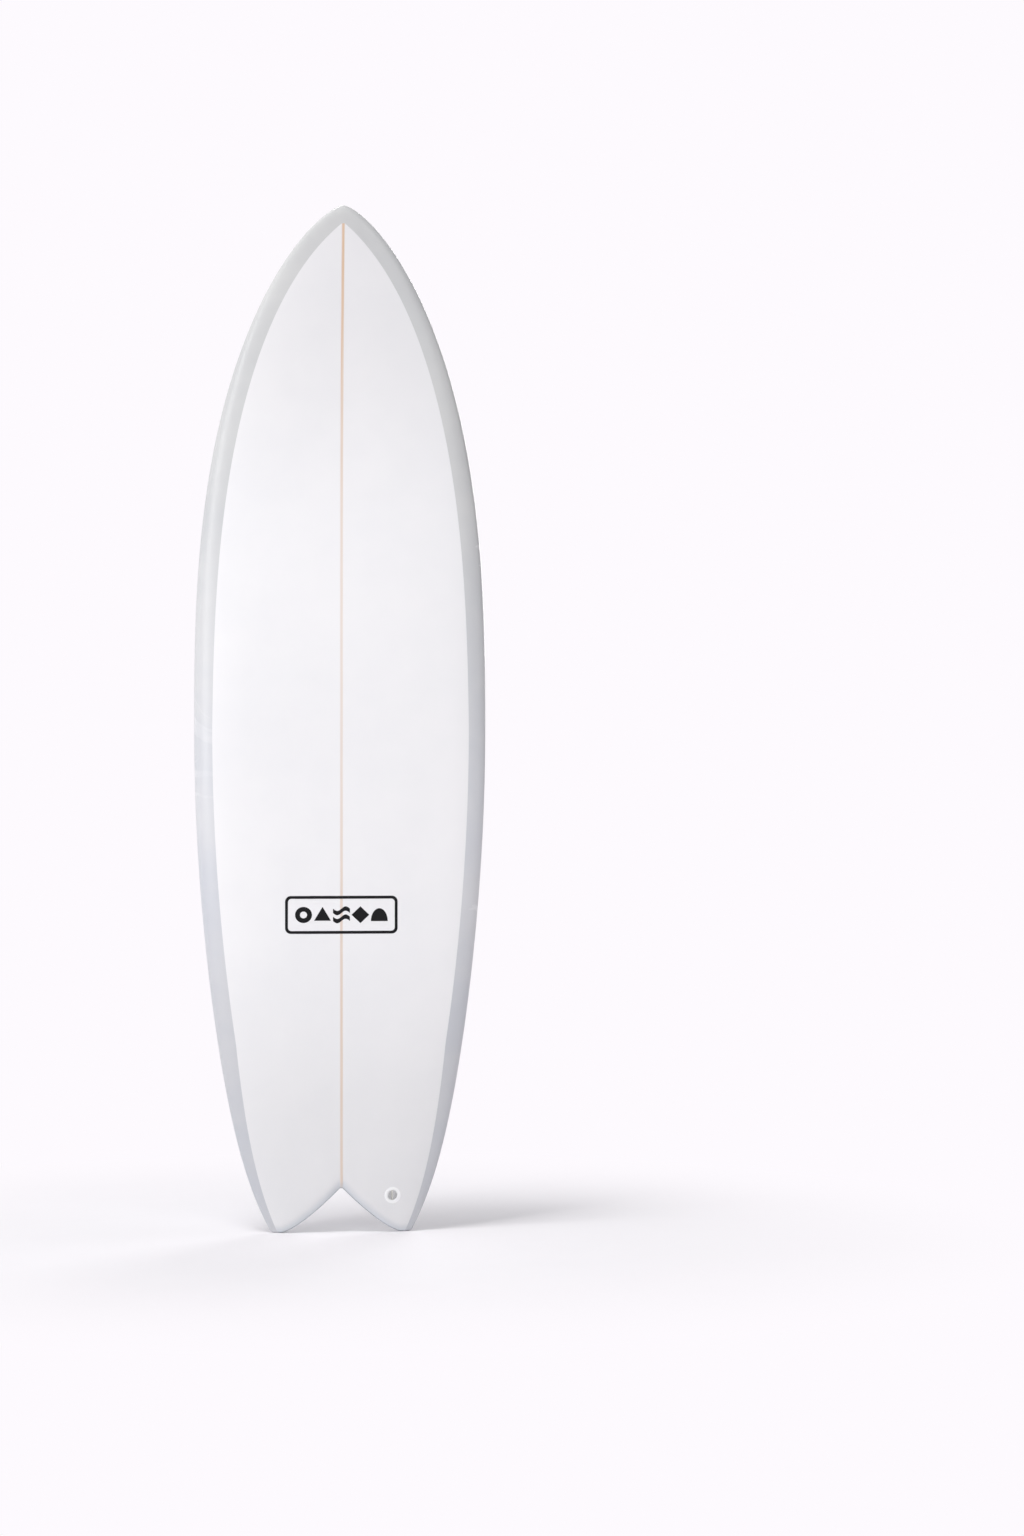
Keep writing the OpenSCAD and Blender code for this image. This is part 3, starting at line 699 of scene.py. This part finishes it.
def box_plastic():
    """White moulded plastic: a duller flange, and painted shade in the slot, near black, with pale ribs
    across its floor.
    """
    made, tree, shader, place = finish_of("white_box_plastic", Coat_Weight=0.3, Coat_Roughness=0.2)
    x, _, height = parts_of(tree, place)
    off = calc(tree, "ABSOLUTE", calc(tree, "SUBTRACT", calc(tree, "ABSOLUTE", x), BOX_X * MM))
    under = ramp(tree, off, (BOX_BAR_WIDTH / 2 - 0.2) * MM, (BOX_BAR_WIDTH / 2 + 0.6) * MM)
    cloud = use(tree, clouding, Place=place, Scale=90.0)["Cloud"]
    bar = blend_colour(tree, cloud, (0.88, 0.90, 0.94), (0.93, 0.945, 0.97))
    flange = blend_colour(tree, cloud, (0.60, 0.625, 0.70), (0.65, 0.67, 0.73))
    depth = add(tree, "Attribute", attribute_name="depth").outputs["Fac"]
    # share of painted shade in the slot, growing with depth below the plane of the box
    inside = ramp(tree, depth, 0.0007, 0.0032)
    rib_turn = calc(tree, "DIVIDE", calc(tree, "SUBTRACT", height, BOX_Z * MM), RIB_PITCH * MM)
    rib_away = calc(tree, "ABSOLUTE", calc(tree, "SUBTRACT", calc(tree, "FRACT", rib_turn), 0.5))
    in_slot = ramp(tree, off, (SLOT_WIDTH / 2 - 0.3) * MM, SLOT_WIDTH / 2 * MM, 1.0, 0.0)
    floor_rib = calc(tree, "MULTIPLY", ramp(tree, rib_away, 0.16, 0.20, 1.0, 0.0), in_slot)
    shown = blend_colour(tree, under, bar, flange)
    # painted shade: deep in the slot the plastic is painted near black, with pale ribs across its floor
    slot_shade_and_ribs = blend_colour(tree, floor_rib, (0.06, 0.07, 0.085), (0.80, 0.82, 0.86))
    feed(tree, shader, Base_Color=blend_colour(tree, inside, shown, slot_shade_and_ribs),
         Roughness=ramp(tree, cloud, 0, 1, 0.30, 0.38))
    fine = add(tree, "TexNoise", {"Vector": place, "Scale": 1500.0, "Detail": 2.0}).outputs["Fac"]
    bump(tree, shader, fine, 0.15, 0.00005)
    return made


def set_resin(name, tint, deep, rim):
    """Resin that a fitting is set in: gloss with fine bubbles, in the board's colour at its rim."""
    made, tree, shader, place = finish_of(name, Coat_Weight=0.6, Coat_Roughness=0.12, Roughness=0.22)
    cloud = use(tree, clouding, Place=place, Scale=120.0)["Cloud"]
    bubble = add(tree, "TexVoronoi", {"Vector": place, "Scale": 700.0}).outputs["Distance"]
    outward = add(tree, "Attribute", attribute_name="outward").outputs["Fac"]
    body = blend_colour(tree, cloud, tint, deep)
    colour = blend_colour(tree, ramp(tree, outward, -0.0016, -0.0006), body, rim)
    bubbled = blend_colour(tree, ramp(tree, bubble, 0.08, 0.2, 0.35, 0.0), colour, (0.8, 0.83, 0.86))
    feed(tree, shader, Base_Color=bubbled)
    bump(tree, shader, bubble, 0.05, 0.0001)
    return made


def plug_plastic():
    """White moulded plastic with a fine satin grain."""
    made, tree, shader, place = finish_of("white_plug_plastic", Coat_Weight=0.2, Coat_Roughness=0.25)
    cloud = use(tree, clouding, Place=place, Scale=110.0)["Cloud"]
    feed(tree, shader, Base_Color=blend_colour(tree, cloud, (0.93, 0.935, 0.945), (0.96, 0.96, 0.965)),
         Roughness=ramp(tree, cloud, 0, 1, 0.32, 0.42))
    fine = add(tree, "TexNoise", {"Vector": place, "Scale": 1800.0, "Detail": 2.0}).outputs["Fac"]
    bump(tree, shader, fine, 0.15, 0.00004)
    return made


def metal(name, colour, dark, roughness):
    """Turned steel: fine bands of tool marks and a slightly uneven colour."""
    made, tree, shader, place = finish_of(name, Metallic=1.0)
    cloud = use(tree, clouding, Place=place, Scale=300.0)["Cloud"]
    marks = add(tree, "TexNoise", {"Vector": stretched(tree, place, (400, 400, 6000)), "Scale": 1.0,
                                   "Detail": 2.0}).outputs["Fac"]
    feed(tree, shader, Base_Color=blend_colour(tree, cloud, dark, colour),
         Roughness=ramp(tree, marks, 0.3, 0.7, roughness * 0.8, roughness * 1.25))
    bump(tree, shader, marks, 0.12, 0.00003)
    return made


def blank_foam():
    """Closed-cell foam: fine pale cells, faintly mottled."""
    made, tree, shader, place = finish_of("blank_foam", Specular_IOR_Level=0.2)
    cell = add(tree, "TexVoronoi", {"Vector": place, "Scale": 900.0}).outputs["Distance"]
    cloud = use(tree, clouding, Place=place, Scale=7.0)["Cloud"]
    pale = blend_colour(tree, cloud, (0.86, 0.84, 0.77), (0.92, 0.905, 0.85))
    colour = blend_colour(tree, ramp(tree, cell, 0.2, 0.7), pale, (0.78, 0.76, 0.69))
    feed(tree, shader, Base_Color=colour, Roughness=ramp(tree, cell, 0, 1, 0.82, 0.95))
    bump(tree, shader, cell, 0.4, 0.0003)
    return made


def stringer_wood():
    """Light basswood with long straight grain and short pores."""
    made, tree, shader, place = finish_of("stringer_wood", Specular_IOR_Level=0.3)
    grain = add(tree, "TexNoise", {"Vector": stretched(tree, place, (300, 160, 5)), "Scale": 1.0,
                                   "Detail": 5.0}).outputs["Fac"]
    pores = add(tree, "TexNoise", {"Vector": stretched(tree, place, (1500, 900, 60)), "Scale": 1.0,
                                   "Detail": 2.0}).outputs["Fac"]
    wood = blend_colour(tree, ramp(tree, grain, 0.35, 0.65), (0.66, 0.47, 0.29), (0.80, 0.62, 0.42))
    colour = blend_colour(tree, ramp(tree, pores, 0.6, 0.72, 0.0, 0.4), wood, (0.42, 0.27, 0.15))
    feed(tree, shader, Base_Color=colour, Roughness=ramp(tree, grain, 0.3, 0.7, 0.55, 0.7))
    bump(tree, shader, grain, 0.2, 0.0002)
    return made


def printed_ink():
    """Matt black ink of a mark laid under the gloss, with a trace of the cloth in its density."""
    made, tree, shader, place = finish_of("printed_ink", Specular_IOR_Level=0.22)
    thread = use(tree, weave, Place=place, Pitch=0.0005)["Height"]
    colour = blend_colour(tree, ramp(tree, thread, -1, 1), (0.002, 0.002, 0.003), (0.006, 0.006, 0.008))
    feed(tree, shader, Base_Color=colour, Roughness=ramp(tree, thread, -1, 1, 0.42, 0.5))
    bump(tree, shader, thread, 0.05, 0.0001)
    return made


finishes = {
    "deck": clear_over_foam(),
    "bottom": tinted_glass(),
    "box": box_plastic(),
    # the fin box beds' dark grey is partly the resin's own tint and partly painted shade in the corners at
    # the ends of the box
    "box_resin": set_resin("box_set_resin", (0.40, 0.44, 0.50), (0.32, 0.37, 0.43), (0.64, 0.66, 0.70)),
    "plug_resin": set_resin("plug_set_resin", (0.84, 0.845, 0.86), (0.78, 0.79, 0.81),
                            (0.88, 0.88, 0.895)),
    "plug": plug_plastic(),
    "screw": metal("dark_steel", (0.20, 0.20, 0.21), (0.12, 0.12, 0.13), 0.34),
    "bar": metal("stainless_steel", (0.80, 0.80, 0.76), (0.68, 0.68, 0.63), 0.28),
    "foam": blank_foam(),
    "wood": stringer_wood(),
    "ink": printed_ink(),
}


# ---- fittings: rounded copies of the CAD solids, laid to the curve of the board ----------------
def fitted(node, name, body, slot, finish, edge, lay=None, measures=()):
    """A copy of a CAD solid with its doubles merged, its edges rounded and its face laid to the surface.

    Each measure is a name and a function of the flat points, kept at the points for the finish to read.
    """
    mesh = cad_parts[node].data.copy()
    with editing(mesh) as tool:
        bmesh.ops.remove_doubles(tool, verts=tool.verts, dist=0.00001)
        bmesh.ops.dissolve_limit(tool, angle_limit=math.radians(1.5), verts=tool.verts, edges=tool.edges)
        bmesh.ops.recalc_face_normals(tool, faces=tool.faces)
    raw = placed(name + "_raw", mesh)
    if edge:
        rounding = raw.modifiers.new("edges", "BEVEL")
        rounding.width, rounding.segments = edge * MM, 2
        rounding.limit_method, rounding.angle_limit = "ANGLE", math.radians(40)
        rounding.harden_normals = False
    finished = baked(raw)
    discard(raw)
    finished.name = name
    for label, measure in dict(measures).items():
        kept = finished.attributes.new(label, "FLOAT", "POINT")
        kept.data.foreach_set("value", measure(mesh_points(finished)))
    if lay:
        set_points(finished, lay(mesh_points(finished)))
    made = dress(name, finished, body, slot, finishes[finish])
    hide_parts(node)
    return made


def slope(height, x, z, step):
    """Slopes of a surface along X and Z."""
    return ((float(height(x + step, z)) - float(height(x - step, z))) / (2 * step),
            (float(height(x, z + step)) - float(height(x, z - step))) / (2 * step))


def box_plane(z):
    """Depth of the flat plane that a fin box lies in."""
    _, rise = slope(bottom_y, BOX_X, BOX_Z, 40)
    return float(bottom_y(BOX_X, BOX_Z)) + (z - BOX_Z) * rise


def box_depth(points):
    """How far points of a fin box lie below its plane."""
    return box_plane(points[:, 2] / MM) * MM - points[:, 1]


def box_outward(points):
    """How far points lie outside the outline of a fin box opening; inside it they count as below zero."""
    x = np.abs(np.abs(points[:, 0]) - BOX_X * MM) - BOX_OPENING_WIDTH / 2 * MM
    z = np.abs(points[:, 2] - BOX_Z * MM) - BOX_OPENING_LENGTH / 2 * MM
    return np.maximum(x, z)


def plug_outward(points):
    """How far points lie outside the circle of the leash plug opening."""
    away = np.hypot(points[:, 0] - PLUG_X * MM, points[:, 2] - PLUG_Z * MM)
    return away - PLUG_OPENING * MM


def lay_to_bottom(points):
    """Moves points from the flat plane of a fin box to the curved bottom above them."""
    x, z = np.abs(points[:, 0]) / MM, points[:, 2] / MM
    moved = points.copy()
    moved[:, 1] += (bottom_y(x, z) - box_plane(z)) * MM
    return moved


def lay_to_deck(points):
    """Moves points from the flat plane of the leash plug to the curved deck above them."""
    side, rise = slope(deck_y, PLUG_X, PLUG_Z, 8)
    x, z = points[:, 0] / MM, points[:, 2] / MM
    flat = float(deck_y(PLUG_X, PLUG_Z)) + (x - PLUG_X) * side + (z - PLUG_Z) * rise
    moved = points.copy()
    moved[:, 1] += (deck_y(x, z) - flat) * MM
    return moved


def prism(name, outline, low, high):
    """A cutter along Y with a flat outline of points across X and Z."""
    count = len(outline)
    ends = [np.column_stack([outline[:, 0], np.full(count, y), outline[:, 1]]) for y in (low, high)]
    ring = np.arange(count)
    after = np.roll(ring, -1)
    sides = np.stack([ring, after, after + count, ring + count], -1)
    faces = sides.tolist() + [ring[::-1].tolist(), (ring + count).tolist()]
    mesh = bpy.data.meshes.new(name)
    mesh.from_pydata((np.concatenate(ends) * MM).tolist(), [], faces)
    with editing(mesh) as tool:
        bmesh.ops.recalc_face_normals(tool, faces=tool.faces)
    return placed(name, mesh)


def rounded_outline(width, length, radius, step=8):
    """Outline of a rounded bar: four quarter circles, and points along its sides."""
    turn = np.linspace(0, math.pi / 2, 9)
    corners = [(width / 2 - radius, length / 2 - radius, 0), (radius - width / 2, length / 2 - radius, 1),
               (radius - width / 2, radius - length / 2, 2), (width / 2 - radius, radius - length / 2, 3)]
    dots = []
    for x, z, quarter_turn in corners:
        angle = turn + quarter_turn * math.pi / 2
        dots.append(np.column_stack([x + radius * np.cos(angle), z + radius * np.sin(angle)]))
    return resampled(np.concatenate(dots), step)


def resampled(loop, step):
    """Adds points along the long sides of a closed outline."""
    filled = []
    for start, end in zip(loop, np.roll(loop, -1, axis=0)):
        parts = max(1, math.ceil(np.linalg.norm(end - start) / step))
        filled.append(start + (end - start) * (np.arange(parts) / parts)[:, None])
    return np.concatenate(filled)


def circle_outline(radius, count=72):
    turn = np.linspace(0, 2 * math.pi, count, endpoint=False)
    return np.column_stack([radius * np.cos(turn), radius * np.sin(turn)])


BOX_OPENING = rounded_outline(BOX_OPENING_WIDTH, BOX_OPENING_LENGTH, 4)
box_cutters = [prism("box_cutter", BOX_OPENING * (side, 1) + (side * BOX_X, BOX_Z), 20, 90)
               for side in (-1, 1)]
plug_cutter = prism("plug_cutter", circle_outline(PLUG_OPENING) + (PLUG_X, PLUG_Z), -40, 8)

plan = Plan()
deck_points, deck_faces = deck_sheet(plan)
bottom_points, bottom_faces = bottom_sheet(plan)
from_tail_edge = np.tile(edge_distance(plan.x, plan.z), 2)
deck_glass = shell("deck_glass", deck_points, deck_faces, -1, [plug_cutter], "clear_glass",
                   finishes["deck"], from_tail_edge)
bottom_glass = shell("bottom_glass", bottom_points, bottom_faces, 1, box_cutters, "tinted_glass",
                     finishes["bottom"], girth(plan))
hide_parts("deck_laminate")
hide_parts("bottom_laminate")
discard(*box_cutters, plug_cutter)

for side in ("port", "starboard"):
    fitted(f"{side}_fin_box", f"{side}_fin_box_moulding", "board", "box_plastic", "box", 0.25,
           lay_to_bottom, {"depth": box_depth})
    fitted(f"{side}_box_resin_bed", f"{side}_box_set_resin", "board", "set_resin", "box_resin", 0,
           lay_to_bottom, {"outward": box_outward})
    fitted(f"{side}_grub_screw", f"{side}_socket_screw", f"{side}_screw", "screw_steel", "screw", 0.2)
fitted("leash_plug_cup", "leash_plug_moulding", "board", "plug_plastic", "plug", 0.35, lay_to_deck)
fitted("leash_plug_bar", "leash_plug_pin", "board", "bar_steel", "bar", 0)
fitted("leash_plug_resin_bed", "leash_plug_set_resin", "board", "set_resin", "plug_resin", 0,
       lay_to_deck, {"outward": plug_outward})

for node, finish in {"foam_core_port": "foam", "foam_core_starboard": "foam", "stringer": "wood"}.items():
    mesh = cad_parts[node].data
    mesh.materials.clear()
    mesh.materials.append(finishes[finish])


# ---- printed marks -----------------------------------------------------------------------------
INK_ABOVE, INK_BELOW = 0.14, 0.06  # how far a print stands over the glass and reaches into it


def printed(name, loops, centre, surface, outward, turn=0.0):
    """A thin print: filled outlines, turned and set about a centre in the plan, laid on the surface."""
    line = bpy.data.curves.new(name, "CURVE")
    line.dimensions, line.fill_mode = "2D", "BOTH"
    line.extrude = (INK_ABOVE + INK_BELOW) / 2
    for loop in loops:
        spline = line.splines.new("POLY")
        dots = resampled(np.asarray(loop, float), 5)
        spline.points.add(len(dots) - 1)
        flat = np.column_stack([dots, np.zeros(len(dots)), np.ones(len(dots))])
        spline.points.foreach_set("co", flat.ravel())
        spline.use_cyclic_u = True
    return laid_print(name, line, centre, surface, outward, turn)


def cut_small(mesh, step):
    """Cuts a flat mesh along a square grid, so that no face is too wide to follow a curved surface."""
    points = mesh_points(mesh)
    with editing(mesh) as tool:
        for axis in (0, 1):
            low, high = points[:, axis].min(), points[:, axis].max()
            for cut in np.arange(math.ceil(low / step), high / step) * step:
                place, square = [0, 0, 0], [0, 0, 0]
                place[axis], square[axis] = cut, 1
                everything = tool.verts[:] + tool.edges[:] + tool.faces[:]
                bmesh.ops.bisect_plane(tool, geom=everything, plane_co=place, plane_no=square)


def laid_print(name, line, centre, surface, outward, turn):
    """Turns a flat curve or text into a mesh and lays it on the surface, to be read from outside."""
    raw = placed(name + "_raw", line)
    bpy.context.view_layer.update()
    mesh = baked(raw)
    discard(raw)
    cut_small(mesh, 6)
    flat = mesh_points(mesh)
    run = flat[:, 0] * math.cos(turn) - flat[:, 1] * math.sin(turn)
    rise = flat[:, 0] * math.sin(turn) + flat[:, 1] * math.cos(turn)
    x = centre[0] - outward * run
    z = centre[1] + rise
    lift = flat[:, 2] + (INK_ABOVE - INK_BELOW) / 2
    points = np.column_stack([x, surface(np.abs(x), z) + outward * lift, z])
    set_points(mesh, points * MM)
    with editing(mesh) as tool:
        bmesh.ops.remove_doubles(tool, verts=tool.verts, dist=0.000002)
        bmesh.ops.recalc_face_normals(tool, faces=tool.faces)
    mesh.name = name
    return dress(name, mesh, "board", "clear_glass" if outward < 0 else "tinted_glass", finishes["ink"])


def polygon(radius, corners, start):
    turn = start + np.arange(corners) * 2 * math.pi / corners
    return np.column_stack([radius * np.cos(turn), radius * np.sin(turn)])


def wave_bar(width, height, thick, crest):
    """A band that rises and falls once over its width, by half its crest height each way."""
    run = np.linspace(-0.5, 0.5, 25)
    wave = np.sin(run * 2 * math.pi) * crest / 2
    upper = np.column_stack([run * width, wave + height + thick / 2])
    lower = np.column_stack([run * width, wave + height - thick / 2])
    return np.concatenate([lower, upper[::-1]])


def row_of_shapes(size, pitch, stretch):
    """Five plain shapes in a row: a ring, a triangle, two waves, a square on its point, a half disc."""
    r = size / 2
    half = np.linspace(0, math.pi, 33)
    shapes = [
        [circle_outline(r, 56), circle_outline(r * 0.42, 40)[::-1]],
        [polygon(r * 1.15, 3, math.pi / 2) - (0, r * 0.15)],
        [wave_bar(size, r * 0.5, size * 0.27, size * 0.28),
         wave_bar(size, -r * 0.5, size * 0.27, size * 0.28)],
        [polygon(r * 1.05, 4, 0)],
        [np.column_stack([r * np.cos(half), r * 1.6 * np.sin(half) - r * 0.8])],
    ]
    return [loop * (stretch, 1) + ((place - 2) * pitch, 0)
            for place, loops in enumerate(shapes) for loop in loops]


mark_border = [rounded_outline(196, 66, 10), rounded_outline(186, 56, 6)[::-1]]
printed("deck_mark", mark_border + row_of_shapes(28, 33, 1.05), (0, 553), deck_y, -1)
printed("bottom_mark", row_of_shapes(24, 51, 1.65), (3, 877), bottom_y, 1, math.pi / 2)
printed("tail_mark", [circle_outline(6, 40) + (-9, 3), polygon(8, 4, 0) + (9, 3),
                      rounded_outline(40, 2, 0.9) - (0, 9)], (2, 98), bottom_y, 1)

numbers = bpy.data.curves.new("size_numbers", "FONT")
numbers.body = "5-10 x 20 x 2 7/16   31.5"
numbers.size, numbers.extrude = 15, (INK_ABOVE + INK_BELOW) / 2
numbers.align_x, numbers.align_y = "CENTER", "CENTER"
numbers.space_character = 1.25
numbers.offset = 0.12
laid_print("size_numbers", numbers, (2, 540), bottom_y, 1, math.pi / 2)


# ---- floor, light and camera -------------------------------------------------------------------
BACKDROP = (0.985, 0.955, 0.992)
SKY_LEFT, SKY_RIGHT = 0.76, 0.11


def pale_floor():
    """A wide round floor that takes a soft shadow near the board and runs into the backdrop far out."""
    count, radius = 96, 14.0
    ring = circle_outline(radius, count)
    mesh = bpy.data.meshes.new("floor")
    mesh.from_pydata(np.column_stack([ring, np.zeros(count)]).tolist(), [], [list(range(count))])
    made = placed("floor", mesh)
    material, tree, shader, place = finish_of("floor_paint", Roughness=0.9, Specular_IOR_Level=0.0)
    away = add(tree, "VectorMath", {0: place}, operation="LENGTH").outputs["Value"]
    cloud = use(tree, clouding, Place=place, Scale=2.0)["Cloud"]
    feed(tree, shader, Base_Color=blend_colour(tree, cloud, (0.87, 0.85, 0.875), (0.885, 0.865, 0.89)))
    glow = add(tree, "Emission", {"Color": (*BACKDROP, 1), "Strength": 0.05})
    both = add(tree, "AddShader", {0: shader.outputs[0], 1: glow.outputs[0]})
    backdrop = add(tree, "Emission", {"Color": (*BACKDROP, 1), "Strength": 1.0})
    far = add(tree, "MixShader",
              {0: ramp(tree, away, 0.35, 1.25), 1: both.outputs[0], 2: backdrop.outputs[0]})
    tree.links.new(far.outputs[0], tree.nodes["Material Output"].inputs["Surface"])
    mesh.materials.append(material)


def studio_sky():
    """Light from all round, stronger from the left, and an even pale backdrop behind the board."""
    world = bpy.data.worlds.new("studio")
    bpy.context.scene.world = world
    world.use_nodes = True
    tree = world.node_tree
    tree.nodes.clear()
    ray = add(tree, "TexCoord").outputs["Generated"]
    x, _, _ = parts_of(tree, ray)
    side = ramp(tree, x, -1.0, 1.0, SKY_LEFT, SKY_RIGHT)
    lit = add(tree, "Background", {"Color": (0.98, 0.985, 1.0, 1), "Strength": side})
    plain = add(tree, "Background", {"Color": (*BACKDROP, 1), "Strength": 1.0})
    seen = add(tree, "LightPath").outputs["Is Camera Ray"]
    both = add(tree, "MixShader", {0: seen, 1: lit.outputs[0], 2: plain.outputs[0]})
    out = tree.nodes.new("ShaderNodeOutputWorld")
    tree.links.new(both.outputs[0], out.inputs["Surface"])


def soft_light(name, place, aim, size, power):
    """A rectangular lamp that looks from its place at a point."""
    light = bpy.data.lights.new(name, "AREA")
    light.shape, light.size, light.size_y, light.energy = "RECTANGLE", size[0], size[1], power
    made = placed(name, light)
    made.location = place
    made.rotation_euler = (Vector(aim) - Vector(place)).to_track_quat("-Z", "Y").to_euler()


pale_floor()
studio_sky()
soft_light("left_softbox", (-2.4, -2.4, 1.35), (0, 0, 1.1), (0.45, 1.7), 18)
soft_light("top_softbox", (-1.3, -1.1, 5.6), (0, 0.1, 0), (1.6, 1.6), 124)
soft_light("right_fill", (1.9, -3.6, 1.0), (0, 0, 0.8), (1.2, 1.6), 12)
soft_light("front_fill", (0.4, -5.0, 2.6), (0, 0, 0.8), (2.5, 2.5), 15)
soft_light("back_fill", (1.8, 3.6, 2.3), (0, 0, 0.9), (2.0, 2.4), 67)

VIEW_TURN = math.radians(-3)
VIEW_DISTANCE = 6.0
VIEW_HEIGHT = 0.8086
SENSOR_HEIGHT = 36
LENS_RATIO = 2.242  # focal length over the height of the sensor
BOARD_LEFT_OF_MIDDLE = 0.0495  # sideways turn of the view, as its slope
camera_data = bpy.data.cameras.new("camera")
camera = placed("camera", camera_data)
camera_data.sensor_fit, camera_data.sensor_height = "VERTICAL", SENSOR_HEIGHT
camera_data.lens = SENSOR_HEIGHT * LENS_RATIO
camera.location = (VIEW_DISTANCE * math.sin(VIEW_TURN), -VIEW_DISTANCE * math.cos(VIEW_TURN), VIEW_HEIGHT)
camera.rotation_euler = (math.pi / 2, 0, VIEW_TURN - math.atan(BOARD_LEFT_OF_MIDDLE))
bpy.context.scene.camera = camera
bpy.context.scene.view_settings.view_transform = "Standard"
